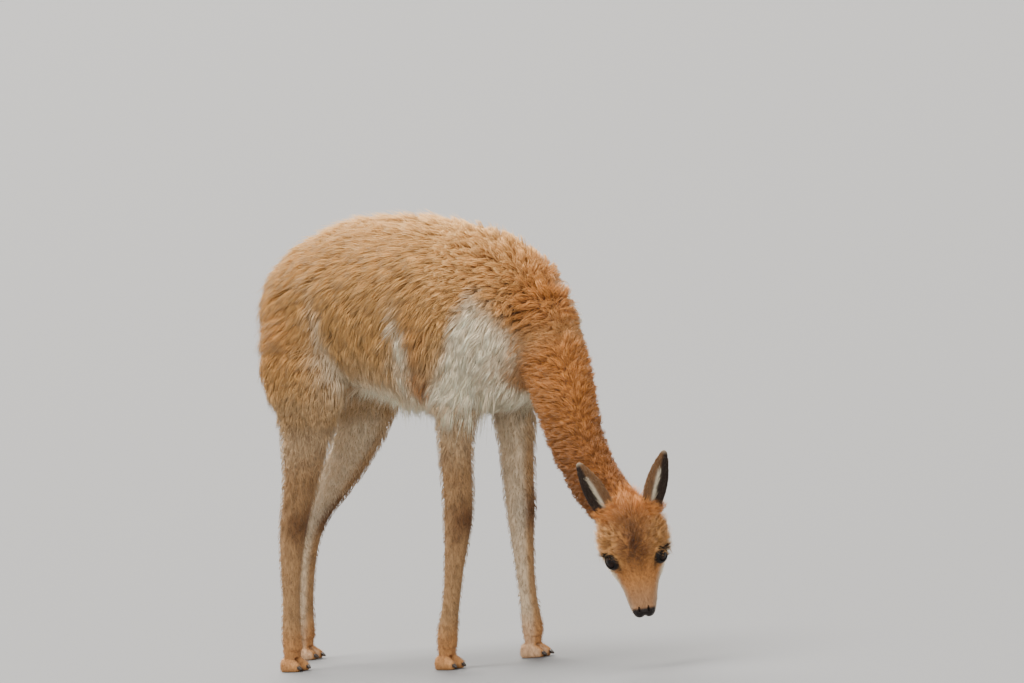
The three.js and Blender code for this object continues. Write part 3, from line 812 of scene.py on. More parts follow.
def face_markings(places, colours):
    """Colour of the face and ears at each point"""
    head_x, head_y, head_z = places.head.T
    face = Tint(colours, "face", len(head_x))
    patch = np.exp(-((head_y / 17) ** 2) - (((head_z - 26) / 44) ** 2)) * smooth(0, 25, head_x)
    mottle = 0.85 + 0.15 * ripple(places.head, 14, 9)
    face.add("brown", np.clip(1.1 * patch * mottle, 0, 1))
    temple = smooth(12, 34, np.abs(head_y)) * smooth(72, 50, head_z) * smooth(-30, 0, head_z)
    face.add("back", 0.45 * temple)
    face.add("orange", 0.6 * smooth(62, 84, head_z))
    cheek = smooth(20, -8, head_x) * smooth(42, -4, head_z + 12 * ripple(places.head, 40, 2))
    face.add("cream", 0.8 * cheek)
    face.add("muzzle", 0.6 * smooth(-30, -92, head_z))
    for side in (-1, 1):
        distance, share, _ = nearest_on_line(places.head, [mirrored(point, side) for point in TEAR_DUCT])
        face.add("nose", 0.85 * smooth(7, 2.5, distance) * (1 - 0.6 * share))
    leather = face.named("nose") * (0.4 + 0.6 * smooth(-60, -80, head_z))[:, None]
    skin = face.value + (leather - face.value) * places.bare()[:, None]
    ear = Tint(colours, "ear", len(head_x))
    hollow = smooth(0.1, 0.45, places.ear_opening) * smooth(1, 0.88, places.ear_share)
    ear.add("inner_ear", hollow * smooth(-4, 1, places.ear_across))
    ear.add("cream", 0.75 * places.ear_streak())
    ear.add("cream", 0.3 * smooth(0.88, 1, places.ear_share))
    return mixed(skin, ear.value, places.ear)


class Skin:
    """The finished skin as arrays, from which tufts can grow"""

    def __init__(self):
        mesh = bpy.data.objects["skin"].data
        mesh.calc_loop_triangles()
        self.points = read_array(mesh.vertices, "co", 3)
        self.normals = read_array(mesh.vertex_normals, "vector", 3)
        self.triangles = read_array(mesh.loop_triangles, "vertices", 3, int)
        loops = read_array(mesh.loop_triangles, "loops", 3, int)
        self.map = read_array(mesh.uv_layers[0].data, "uv", 2)[loops]
        corners = self.points[self.triangles]
        self.middles = corners.mean(axis=1)
        crossed = np.cross(corners[:, 1] - corners[:, 0], corners[:, 2] - corners[:, 0])
        self.areas = np.linalg.norm(crossed, axis=1) / 2
        self.tree = BVHTree.FromPolygons(self.points.tolist(), self.triangles.tolist())

    def roots(self, density, weight, random):
        """Random spots, density of them for each square centimetre where the weight is 1"""
        places = Places(self.middles, unit(self.normals[self.triangles].mean(axis=1)))
        chance = self.areas * weight(places)
        count = int(density / CENTIMETRE**2 * chance.sum())
        picked = random.choice(len(chance), count, p=chance / chance.sum())
        first, second = np.sqrt(random.random(count)), random.random(count)
        share = np.stack([1 - first, first * (1 - second), first * second], -1)[..., None]
        corners = self.triangles[picked]
        points = (self.points[corners] * share).sum(axis=1)
        normals = unit((self.normals[corners] * share).sum(axis=1))
        return points, normals, (self.map[picked] * share).sum(axis=1)

    def nearest(self, points):
        """Nearest spot of the skin to each point and the soft outward normal there"""
        found = [self.tree.find_nearest(point) for point in points.tolist()]
        spots = np.array([spot for spot, *_ in found])
        corners = self.triangles[[face for _, _, face, _ in found]]
        return spots, unit(self.normals[corners].sum(axis=1))


class Hair:
    """How one kind of tuft is shaped, in millimetres but for its length, which is a setting in metres

    Stations are the shares of a tuft's length at which it bends, and shade is what its colour is
    multiplied by there. Thick is the thickness as a share of the width. Rise is the height of the tip
    over the skin, and hang is the share by which the tuft hangs freely. Clump is the size of a clump,
    and meet the share by which its tufts meet at the tips. Wave is how far a tuft swings sideways,
    stray how far its way is turned at random, and uneven how far the lengths differ. Density is in
    tufts for each square centimetre, squash draws clumps out across the slope, and wisps is the
    share of thin tufts that stand up.
    """

    stations = (0.0, 0.33, 0.68, 1.0)
    # Shade is painted light: painted shade toward the root, where the gaps between clumps lie, and a painted
    # highlight at the tip
    shade = ((0.5, 0.42, 0.34), (0.84, 0.79, 0.73), (1, 1, 1), (1.14, 1.17, 1.2))
    width, thick, rise, hang = 3, 0.5, 12, 0
    clump, meet, wave, stray, uneven = 15, 0.5, 2, 0.14, 0.25
    density, squash, wisps = 5, 1.0, 0.1

    def __init__(self, length, **settings):
        self.length = length
        for name, value in settings.items():
            if not hasattr(Hair, name):
                raise ValueError(f"hair has no {name}")
            setattr(self, name, value)


class FlatHair(Hair):
    """Hair that lies along the body, with one bend fewer"""

    stations = (0.0, 0.45, 1.0)
    # Painted shade at the root and a painted highlight at the tip
    shade = ((0.64, 0.56, 0.48), (0.96, 0.94, 0.91), (1.12, 1.14, 1.16))
    wisps = 0.13


class ShortHair(Hair):
    """Short hair that lies flat, with fewer corners"""

    stations = (0.0, 0.5, 1.0)
    # Lighter painted shade at the root and a painted highlight at the tip
    shade = ((0.78, 0.72, 0.66), (0.97, 0.96, 0.95), (1.12, 1.14, 1.16))
    wave, thick, clump, meet, stray, wisps = 0.3, 0.5, 9, 0.3, 0.12, 0


# How deep a tuft's root sits in the skin, in millimetres
ROOT_DEPTH = 1.5
# How many times the usual height a wisp may stand
HIGHEST_WISP = 1.7
# Share of the lie's slope out of the skin that is taken away
FLATTENED = 0.93


def clump_up(points, hair, random):
    """Numbers of the tufts that lead a clump, and for each tuft the number of its clump"""
    count = max(1, int(len(points) * min(1, 100 / hair.density / hair.clump**2)))
    leaders = random.choice(len(points), count, replace=False)
    flat = points * (1, 1, hair.squash)
    tree = KDTree(count)
    for i, leader in enumerate(leaders):
        tree.insert(flat[leader], i)
    tree.balance()
    return leaders, np.array([tree.find(point)[1] for point in flat.tolist()])


def tuft_paths(skin, points, normals, lie, reach, hair, random):
    """Points from the root to the tip of each tuft, its clump, and whether it is a thin wisp"""
    count = len(points)
    leaders, owner = clump_up(points, hair, random)
    clump_count = len(leaders)
    wisp = random.random(count) < hair.wisps
    wisp[leaders] = False
    clump_turn = random.normal(size=(clump_count, 3)) * hair.stray
    way = unit(lie + clump_turn[owner] + random.normal(size=(count, 3)) * hair.stray * 0.5)
    even = random.uniform(1 - hair.uneven, 1 + hair.uneven, clump_count)[owner]
    length = hair.length * reach * even * random.uniform(0.8, 1.15, count) * np.where(wisp, 1.3, 1)
    usual_rise = hair.rise * MM * reach
    rise = usual_rise * random.uniform(0.7, 1.3, clump_count)[owner]
    rise *= random.uniform(0.8, 1.2, count) * np.where(wisp, 1.5, 1)
    rise = np.minimum(rise, usual_rise * HIGHEST_WISP)
    side = unit(np.cross(normals, way))
    phase = random.uniform(0, 2 * math.pi, clump_count)[owner] + random.normal(size=count) * 0.5
    at = points - normals * ROOT_DEPTH * MM
    path = [at]
    for last, station in zip(hair.stations, hair.stations[1:]):
        along = unit(way - normals * (way * normals).sum(-1, keepdims=True) * FLATTENED)
        loose = hair.hang * station
        drift = unit(along * (1 - loose) + way * loose + DOWN * loose * 0.5)
        free = at + drift * ((station - last) * length)[:, None]
        spots, normals = skin.nearest(free)
        height = rise * (1 - (1 - station) ** 2)
        depth = ((free - spots) * normals).sum(-1)
        kept = np.where(depth > height, height + (depth - height) * min(1, loose * 1.6), height)
        at = spots + normals * kept[:, None]
        path.append(at)
    path = np.stack(path, 1)
    shares = np.array(hair.stations)
    pull = hair.meet * shares**1.3 * np.where(wisp, 0.3, 1)[:, None]
    path += (path[leaders][owner] - path) * pull[..., None]
    swing = np.sin(phase[:, None] + shares * 5) - np.sin(phase)[:, None]
    path += side[:, None] * (swing * shares * hair.wave * MM * reach[:, None])[..., None]
    return path, owner, wisp


# Corners of a tuft's ring, and the rings' widths from the root on, for tufts of two and three rings
CORNERS = np.radians((90, 210, 330))
TAPERS = {2: np.array([0.85, 0.9]), 3: np.array([0.75, 1.0, 0.6])}
# How far the roots of white hair are lit through it
PALE_LIFT = 0.85
# Width on the skin's unwrap of the patch that holds one tuft's colour
PATCH = 0.003
# Most triangles that one piece of the coat may have
PIECE_LIMIT = 190000


def tuft_faces(rings):
    """Triangles of one tuft with this many three-sided rings and a tip"""
    tip = rings * 3
    faces = [(0, 2, 1)]
    for ring in range(rings - 1):
        for corner in range(3):
            here, beside = ring * 3 + corner, ring * 3 + (corner + 1) % 3
            faces += [(here, beside, beside + 3), (here, beside + 3, here + 3)]
    faces += [(tip - 3 + corner, tip - 3 + (corner + 1) % 3, tip) for corner in range(3)]
    return np.array(faces)


def tuft_mesh(name, path, normals, widths, colours, shade, spots):
    """One mesh of all the tufts: three-sided, closed and tapered to the tip"""
    count, stations, _ = path.shape
    rings = stations - 1
    each = rings * 3 + 1
    way = unit(np.diff(path, axis=1))
    across = unit(np.cross(normals[:, None], way))
    out = np.cross(way, across)
    wide, thick = (width[:, None, None] / 2 * TAPERS[rings][:, None] for width in widths)
    ring = path[:, :rings, None]
    ring = ring + across[:, :, None] * (np.cos(CORNERS) * wide)[..., None]
    ring = ring + out[:, :, None] * (np.sin(CORNERS) * thick)[..., None]
    vertices = np.concatenate([ring.reshape(count, -1, 3), path[:, -1:]], 1)
    faces = (tuft_faces(rings)[None] + (np.arange(count) * each)[:, None, None]).reshape(-1, 3)
    mesh = bpy.data.meshes.new(name)
    mesh.vertices.add(count * each)
    mesh.vertices.foreach_set("co", vertices.ravel())
    mesh.loops.add(faces.size)
    mesh.loops.foreach_set("vertex_index", faces.ravel())
    mesh.polygons.add(len(faces))
    mesh.polygons.foreach_set("loop_start", np.arange(len(faces)) * 3)
    mesh.polygons.foreach_set("use_smooth", np.ones(len(faces), bool))
    station = np.append(np.repeat(np.arange(rings), 3), rings)
    # Each ring's colour is multiplied by its shade: painted shade toward the root and a painted highlight at
    # the tip, with the painted shade lifted for pale tufts
    painted_shade_and_highlight = np.array(shade)[station][None]
    pale = PALE_LIFT * smooth(0.48, 0.7, colours.mean(axis=-1))[:, None, None]
    paint(mesh, "coat", np.clip(colours[:, None] * np.maximum(painted_shade_and_highlight, painted_shade_and_highlight + (1 - painted_shade_and_highlight) * pale), 0, 1))
    offset = np.stack([station / rings - 0.5, np.append(np.tile((-0.5, 0, 0.5), rings), 0)], -1) * PATCH
    unwrap = mesh.uv_layers.new(name="OFBake")
    unwrap.data.foreach_set("uv", (spots[:, None] + offset).reshape(-1, 2)[faces.ravel()].ravel())
    mesh.update(calc_edges=True)
    mesh.validate()
    piece = bpy.data.objects.new(name, mesh)
    bpy.context.scene.collection.objects.link(piece)
    return piece


# Materials


class Shade:
    """One output of a shader node; sums and products of these add Math nodes"""

    def __init__(self, output):
        self.output = output

    def joined(self, operation, first, second):
        tree = self.output.id_data
        return add_node(tree, "ShaderNodeMath", {"operation": operation}, (first, second))

    def __add__(self, other):
        return self.joined("ADD", self, other)

    def __sub__(self, other):
        return self.joined("SUBTRACT", self, other)

    def __rsub__(self, other):
        return self.joined("SUBTRACT", other, self)

    def __mul__(self, other):
        return self.joined("MULTIPLY", self, other)

    __radd__ = __add__
    __rmul__ = __mul__


def add_node(tree, kind, settings, inputs, output=0):
    """Adds a node; inputs are values or outputs of other nodes, by number or by name"""
    node = tree.nodes.new(kind)
    for name, value in settings.items():
        setattr(node, name, value)
    pairs = inputs.items() if isinstance(inputs, dict) else enumerate(inputs)
    for key, value in pairs:
        if isinstance(value, Shade):
            tree.links.new(value.output, node.inputs[key])
        else:
            node.inputs[key].default_value = value
    return Shade(node.outputs[output])


def new_material(name, **constants):
    """Material with a Principled shader, its tree and the shader's node"""
    material = bpy.data.materials.new(name)
    material.use_nodes = True
    tree = material.node_tree
    shader = tree.nodes["Principled BSDF"]
    for socket, value in constants.items():
        shader.inputs[socket.replace("_", " ")].default_value = value
    return material, tree, shader


def mix_colours(tree, share, first, second, blend="MIX"):
    settings = {"data_type": "RGBA", "blend_type": blend}
    return add_node(tree, "ShaderNodeMix", settings, {0: share, 6: first, 7: second}, output=2)


def noise(tree, place, size, detail=3.0):
    """Soft noise whose features are about size metres wide"""
    return add_node(tree, "ShaderNodeTexNoise", {}, {"Vector": place, "Scale": 1 / size, "Detail": detail})


def attribute(tree, name, output=0):
    """What is stored under a name on each vertex: its colour, or as output 2 its number"""
    return add_node(tree, "ShaderNodeAttribute", {"attribute_name": name}, (), output)


def object_place(tree):
    return add_node(tree, "ShaderNodeTexCoord", {}, (), output=3)


def coat_material(name):
    """Hair: dull, with a faint warm sheen, in the colour of each tuft's own attribute"""
    material, tree, shader = new_material(
        name,
        Roughness=0.85,
        Specular_IOR_Level=0.2,
        Sheen_Weight=0.15,
        Sheen_Roughness=0.4,
        Sheen_Tint=(1, 0.86, 0.68, 1),
    )
    tree.links.new(attribute(tree, "coat").output, shader.inputs["Base Color"])
    return material


# Metres across a hair, a strand of hairs and a pore of the leather
HAIR_WIDTH = 0.0022
STRAND_WIDTH = 0.007
PORE_SIZE = 0.0014


def skin_material():
    """Short hair drawn by fine streaks that run down, and bare leather on the nose, lips and lids"""
    material, tree, shader = new_material(
        "vicuna skin", Specular_IOR_Level=0.2, Sheen_Weight=0.05, Sheen_Roughness=0.5
    )
    hairy = attribute(tree, "hairy", output=2)
    place = object_place(tree)
    stretched = add_node(tree, "ShaderNodeMapping", {}, {"Vector": place, "Scale": (1, 1, 0.22)})
    streaks = noise(tree, stretched, HAIR_WIDTH) * 0.6 + noise(tree, stretched, STRAND_WIDTH) * 0.4
    shade = add_node(tree, "ShaderNodeMapRange", {}, {0: streaks, 1: 0.3, 2: 0.7, 3: 0.62, 4: 1.22})
    level = shade * hairy + (1 - hairy)
    grey = add_node(tree, "ShaderNodeCombineColor", {}, (level, level, level))
    colour = mix_colours(tree, 1.0, attribute(tree, "coat"), grey, "MULTIPLY")
    tree.links.new(colour.output, shader.inputs["Base Color"])
    tree.links.new((hairy * 0.4 + 0.45).output, shader.inputs["Roughness"])
    height = streaks * hairy + noise(tree, place, PORE_SIZE) * (1 - hairy) * 0.4
    bump = add_node(tree, "ShaderNodeBump", {}, {"Strength": 0.8, "Distance": 0.003, "Height": height})
    tree.links.new(bump.output, shader.inputs["Normal"])
    return material


def eye_material():
    """Wet and nearly black, in the colour of the iris or the pupil"""
    material, tree, shader = new_material("vicuna eye", Roughness=0.06, Specular_IOR_Level=0.25)
    tree.links.new(attribute(tree, "iris").output, shader.inputs["Base Color"])
    return material


def nail_material(colour):
    """Dull horn with a fine grain"""
    material, tree, shader = new_material("vicuna toenail", Roughness=0.5)
    grain = noise(tree, object_place(tree), 0.003)
    tinted = mix_colours(tree, grain, (*(0.6 * np.array(colour)), 1), (*colour, 1))
    tree.links.new(tinted.output, shader.inputs["Base Color"])
    bump = add_node(tree, "ShaderNodeBump", {}, {"Strength": 0.4, "Distance": 0.0006, "Height": grain})
    tree.links.new(bump.output, shader.inputs["Normal"])
    return material


def wear(piece, material):
    """Gives a finished piece its material, and has it ride the body"""
    piece.data.materials.clear()
    piece.data.materials.append(material)
    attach(piece, "root")


# Settings


def colour_setting(name, description, *screen_values):
    """A colour whose default is told in screen values from 0 to 255"""
    default = linear(*screen_values)
    return bpy.props.FloatVectorProperty(
        name=name, description=description, subtype="COLOR", size=3, min=0, max=1, default=default
    )


def length_setting(name, description, millimetres):
    """A length in metres, whose default is told in millimetres"""
    default = millimetres * MM
    return bpy.props.FloatProperty(
        name=name, description=description, unit="LENGTH", subtype="DISTANCE", min=0, default=default
    )


class CoatColours(bpy.types.PropertyGroup):
    """Colours of the coat and of what is bare"""

    back: colour_setting("Back", "Colour of the fleece on the back", 210, 162, 102)
    rust: colour_setting("Neck", "Colour of the neck and shoulders", 184, 120, 60)
    flank: colour_setting("Flank", "Colour low on the flanks", 216, 188, 150)
    cream: colour_setting("Chest", "Colour of chest, belly and inner legs", 254, 242, 214)
    leg: colour_setting("Legs", "Colour of the legs", 162, 126, 88)
    brown: colour_setting("Knees", "Dark hair on knees, hocks and face", 86, 52, 29)
    face: colour_setting("Face", "Colour of the face", 180, 122, 70)
    muzzle: colour_setting("Muzzle", "Short hair round the mouth", 150, 120, 96)
    nose: colour_setting("Nose", "Bare nose, lips and lids", 34, 28, 26)
    ear: colour_setting("Ears", "Back of the ears", 104, 76, 52)
    inner_ear: colour_setting("Inner ear", "Inside of the ears", 44, 34, 28)
    # Darker colour of the low neck toward the head, as painted shade
    shaded_nape: colour_setting("Nape", "Colour of the neck behind the head", 126, 76, 38)
    orange: colour_setting("Orange", "Warm spots of flank and poll", 206, 130, 62)
    iris: colour_setting("Iris", "Colour of the iris", 34, 20, 13)
    nail: colour_setting("Toenail", "Horn of the toenails", 60, 50, 42)


class CoatLengths(bpy.types.PropertyGroup):
    """Lengths of the hair"""

    fleece: length_setting("Fleece", "Length of the fleece on the trunk", 48)
    curls: length_setting("Curls", "Length of the curls on withers and shoulders", 27)
    neck: length_setting("Neck", "Length of the fleece on the neck", 25)
    fringe: length_setting("Chest locks", "Length of the locks of chest and belly", 150)
    thigh: length_setting("Thigh", "Length of the fleece on the thighs", 40)
    tail: length_setting("Tail", "Length of the hair of the tail", 80)
    leg: length_setting("Leg hair", "Length of the short hair of the legs", 18)
    face: length_setting("Face hair", "Length of the hair on forehead and cheeks", 23)


class SkinSizes(bpy.types.PropertyGroup):
    """How far the skin lies under the solids, and how fine it is"""

    body_inset: length_setting("Body depth", "Depth of the skin under the core of the body", 3)
    leg_inset: length_setting("Leg depth", "Depth of the skin under the legs", 1.5)
    head_inset: length_setting("Head depth", "Depth of the skin under the head", 2.5)
    body_grain: length_setting("Body grain", "Size of the skin's faces on the body", 6)
    foot_grain: length_setting("Foot grain", "Size of the skin's faces on the feet", 2.6)
    head_grain: length_setting("Head grain", "Size of the skin's faces on the head", 1.9)


# Operators


def ear_form(side, inset):
    """Leaf of one ear with its cup, in the head's frame"""
    root, tip = np.array(EAR_LINES[side], float)
    facing = ear_facing(side)
    outward = np.array((0.0, side * EAR_CUP_SHIFT, 0.0))

    def leaf(name, thinner, push, start):
        sections = []
        for share, width, depth in EAR_LEAF:
            centre = root + (tip - root) * (start + share * (1 - start)) + facing * push
            centre += outward * min(push, 1) * width
            half = max(EAR_HALF_WIDTH * width - thinner, 1)
            over = max(EAR_DEPTH * depth * 0.5 - thinner * 0.3, 1)
            under = max(EAR_DEPTH * depth - thinner, 1)
            sections.append((*centre, half, over, under))
        return loft(name, sections, facing, (2, 12), place=HEAD_FRAME, sides=14)

    ear = leaf("ear", inset, 0, -0.12)
    return combine(ear, leaf("ear cup", EAR_WALL + EAR_CUP_SHIFT * 0.5, EAR_WALL * 1.7, 0.06), "DIFFERENCE")


def eye_form(name, side, out, radii):
    """Oval ball in front of one eye, out millimetres from its centre, turned as the eye is"""
    form = ball(name, (0, 0, out), radii, Matrix.Scale(MM, 4), 48)
    eye = HEAD_FRAME @ Matrix.Translation(eye_centre(side)) @ eye_axes(side).to_4x4()
    form.matrix_world = eye @ Matrix.Scale(1 / MM, 4)
    settle(form)
    return form


def carve(points, normals):
    """Presses the grooves of the muzzle into the skin's points"""
    head = in_frame(points, HEAD_FRAME)
    for line, width, depth in GROOVES:
        for side in sides_of(*line):
            distance, _, _ = nearest_on_line(head, [mirrored(point, side) for point in line])
            points = points - normals * (depth * MM * np.exp(-((distance / width) ** 2)))[:, None]
    return points


class VICUNA_OT_skin(bpy.types.Operator):
    """Makes one closed skin in place of all the flesh"""

    bl_idname = "vicuna.skin"
    bl_label = "Skin"

    def execute(self, context):
        sizes = context.scene.vicuna_skin
        skin = remeshed(self.body(sizes), "skin", sizes.body_grain / MM, 6)
        feet = remeshed(self.feet(), "feet", sizes.foot_grain / MM, 3)
        head = remeshed(self.head(sizes.head_inset / MM), "head", sizes.head_grain / MM, 3)
        for other in (feet, head, ear_form(-1, EAR_INSET), ear_form(1, EAR_INSET)):
            combine(skin, other, "UNION")
        for hollow in (*self.hollows(-1), *self.hollows(1)):
            combine(skin, hollow, "DIFFERENCE")
        finish_skin(skin, context.scene.vicuna_colours)
        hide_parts(*FLESH)
        return {"FINISHED"}

    def body(self, sizes):
        """Trunk, neck, throat, tail and legs"""
        depth = sizes.body_inset / MM
        forms = [
            loft("trunk", TRUNK, (0, 0, 1), (22, 18), depth),
            loft("neck", NECK, CREST_SIDE, (20, 24), depth),
            loft("throat", THROAT, CREST_SIDE, (20, 20), depth),
            loft("tail", TAIL, (-1, 0, 0), (10, 14), TAIL_INSET),
        ]
        for name, sections in LEGS.items():
            forms.append(loft(f"leg {name}", sections, (1, 0, 0), (20, 4), sizes.leg_inset / MM))
        return forms

    def feet(self):
        """Pastern and two toes of each foot"""
        forms = []
        for name in FEET:
            place = foot_frame(name)
            forms.append(loft("pastern", PASTERN, (1, 0, 0), (8, 4), PASTERN_INSET, place, 16))
            for side in (-1, 1):
                toe = [(x, y + side * TOE_OFFSET, z, *rest) for x, y, z, *rest in TOE]
                forms.append(loft("toe", toe, (0, 0, 1), (7, 8), TOE_INSET, place, 14))
        return forms

    def head(self, depth):
        """Skull with its swellings and the balls of the lids"""
        forms = [loft("head", HEAD, (1, 0, 0), (12, 12), depth, HEAD_FRAME)]
        for centre, radii in SWELLINGS:
            smaller = [radius - depth * 0.6 for radius in radii]
            for side in sides_of(centre):
                forms.append(ball("swelling", mirrored(centre, side), smaller, HEAD_FRAME))
        return forms + [eye_form("lids", side, 0, [EYE_RADIUS + LID_THICKNESS] * 3) for side in (-1, 1)]

    def hollows(self, side):
        """What is cut out of the head on one side: the eye's socket, its opening and the nostril"""
        place, radii = NOSTRIL
        return (
            eye_form("socket", side, 0, [EYE_RADIUS + SOCKET_PLAY] * 3),
            eye_form("opening", side, OPENING_REACH, (*EYE_OPENING, OPENING_REACH)),
            ball("nostril", mirrored(place, side), radii, HEAD_FRAME, 24),
        )


def finish_skin(skin, colours):
    """Flattens the soles, gives the skin its unwrap, its markings and its material"""
    mesh = skin.data
    points = read_array(mesh.vertices, "co", 3)
    points = carve(points, read_array(mesh.vertex_normals, "vector", 3))
    points[:, 2] = np.maximum(points[:, 2], SOLE_HEIGHT * MM)
    mesh.vertices.foreach_set("co", points.ravel())
    mesh.update()
    places = Places(points, read_array(mesh.vertex_normals, "vector", 3))
    paint(mesh, "coat", markings(places, colours))
    hairy = mesh.attributes.new("hairy", "FLOAT", "POINT")
    hairy.data.foreach_set("value", 1 - places.bare())
    choose(skin)
    bpy.ops.object.shade_smooth()
    bpy.ops.object.mode_set(mode="EDIT")
    bpy.ops.mesh.select_all(action="SELECT")
    bpy.ops.uv.smart_project(angle_limit=math.radians(70), island_margin=0.002)
    bpy.ops.object.mode_set(mode="OBJECT")
    mesh.uv_layers[0].name = "OFBake"
    wear(skin, skin_material())


def eye_colours(ways, outward, colour):
    """Colour of the eyeball by the way from its middle: a level pupil in the iris, dark round it"""
    across = unit(np.cross(outward, (0, 0, 1)))
    wide = ways @ across / PUPIL[0]
    high = ways @ np.cross(across, outward) / PUPIL[1]
    pupil = smooth(1.15, 0.85, np.hypot(wide, high))
    behind = smooth(0.72, 0.6, ways @ outward)
    iris = np.broadcast_to(np.array(colour), ways.shape)
    return mixed(iris, iris * 0.05, np.maximum(pupil, behind))


class VICUNA_OT_eyes(bpy.types.Operator):
    """Makes both eyes, with a dark iris and a level pupil"""

    bl_idname = "vicuna.eyes"
    bl_label = "Eyes"

    def execute(self, context):
        material = eye_material()
        for side, word in ((-1, "right"), (1, "left")):
            low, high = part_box(f"eye_{word}")
            middle = (low + high) / 2
            outward = (HEAD_FRAME.to_3x3() @ eye_outward(side)).normalized()
            deselect()
            bpy.ops.mesh.primitive_uv_sphere_add(
                segments=64,
                ring_count=48,
                radius=EYE_RADIUS * MM,
                location=middle,
                rotation=outward.to_track_quat("Z", "Y").to_euler(),
            )
            eye = bpy.context.object
            eye.name = f"eyeball_{word}"
            settle(eye)
            bpy.ops.object.shade_smooth()
            ways = unit(read_array(eye.data.vertices, "co", 3) - np.array(middle))
            paint(eye.data, "iris", eye_colours(ways, np.array(outward), context.scene.vicuna_colours.iris))
            wear(eye, material)
            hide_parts(f"eye_{word}")
        return {"FINISHED"}


class VICUNA_OT_nails(bpy.types.Operator):
    """Rounds off a copy of each toenail"""

    bl_idname = "vicuna.nails"
    bl_label = "Toenails"

    def execute(self, context):
        material = nail_material(context.scene.vicuna_colours.nail)
        for name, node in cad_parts.items():
            if not name.startswith("nail"):
                continue
            choose(node)
            bpy.ops.object.duplicate()
            nail = bpy.context.object
            nail.name = name.replace("nail", "toenail")
            nail.parent = None
            nail.matrix_world = node.matrix_world
            settle(nail)
            apply_modifier(nail, "WELD", merge_threshold=1e-5)
            apply_modifier(nail, "SUBSURF", levels=2, render_levels=2)
            bpy.ops.object.shade_smooth()
            wear(nail, material)
            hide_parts(name)
        return {"FINISHED"}


# Weights of a region between which its tufts thin out, and how long they are where the weight is 0
THINNING = (0.02, 0.3)
SHORTEST = 0.35
# How much the brightness of the clumps varies, and that of the tufts in them
CLUMP_TINT = 0.06
TUFT_TINT = 0.05
# Narrowest and widest tufts, and wisps, as shares of the usual width
WIDTHS = (0.7, 1.3)
WISP_WIDTH = 0.4
LASH_SEED = 51


def grow(name, hair, weight, material, seed, length=None):
    """Grows one kind of tuft where its weight is above 0, in pieces of not too many triangles"""
    skin = Skin()
    random = np.random.default_rng(seed)
    fewer, wider = ((1, 1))
    hair.density *= fewer
    points, normals, spots = skin.roots(hair.density, lambda at: smooth(*THINNING, weight(at)), random)
    places = Places(points, normals)
    reach = (SHORTEST + (1 - SHORTEST) * weight(places)) * (length(places) if length else 1)
    path, owner, wisp = tuft_paths(skin, points, normals, places.lie(), reach, hair, random)
    tint = random.normal(1, CLUMP_TINT, (owner.max() + 1, 1))[owner]
    tint = tint * random.normal(1, TUFT_TINT, (len(points), 1))
    colour = markings(places, bpy.context.scene.vicuna_colours) * tint
    uneven = random.uniform(*WIDTHS, len(points)) * np.where(wisp, WISP_WIDTH, 1)
    width = hair.width * MM * wider * uneven
    width *= 0.5 + 0.5 * reach
    triangles = len(tuft_faces(len(hair.stations) - 1))
    parts = math.ceil(len(points) * triangles / PIECE_LIMIT)
    for i, part in enumerate(np.array_split(np.arange(len(points)), parts)):
        widths = (width[part], width[part] * hair.thick)
        tufts = (path[part], normals[part], widths, colour[part], hair.shade, spots[part])
        wear(tuft_mesh(f"{name}_{i + 1}", *tufts), material)


def lash_path(side, share, random):
    """Bends of one lash, a share of the way round the upper lid, and the way up from the lid"""
    axes = np.array(HEAD_FRAME.to_3x3() @ eye_axes(side))
    along, upward, outward = axes[:, 0], side * axes[:, 1], axes[:, 2]
    first, last = LASH_ARC
    angle = math.radians(first + (last - first) * share)
    spread = along * math.cos(angle) * EYE_OPENING[0] + upward * math.sin(angle) * EYE_OPENING[1]
    lift = math.sqrt((EYE_RADIUS + LID_THICKNESS) ** 2 - np.linalg.norm(spread / MM) ** 2)
    root = np.array(HEAD_FRAME @ eye_centre(side)) + spread + outward * (lift - 1)
    length = LASH_LENGTH * (0.5 + 0.5 * math.sin(math.pi * (0.15 + 0.7 * (1 - share))))
    length *= random.uniform(0.8, 1.15)
    way = unit(outward + along * 0.25 + random.normal(size=3) * 0.1 * MM) * MM
    curl = unit(spread) * MM - outward * 0.15
    return [root + (way * at + curl * 0.35 * at**2) * length for at in (0, 0.35, 0.7, 1)], upward / MM


def grow_lashes(material, colours):
    """Dark lashes in a row along both upper lids, longest over the middle of the eye"""
    skin = Skin()
    random = np.random.default_rng(LASH_SEED)
    lashes = [lash_path(side, share, random) for side in (-1, 1) for share in np.linspace(0, 1, LASH_COUNT)]
    path, ups = (np.array(part) for part in zip(*lashes))
    faces = [skin.tree.find_nearest(root)[2] for root in path[:, 0].tolist()]
    widths = [np.full(len(path), LASH_WIDTH * MM)] * 2
    dark = np.tile(np.array(colours.nose) * 0.4, (len(path), 1))
    shade = [(1, 1, 1)] * path.shape[1]
    piece = tuft_mesh("lashes", path, ups, widths, dark, shade, skin.map[faces].mean(axis=1))
    wear(piece, material)


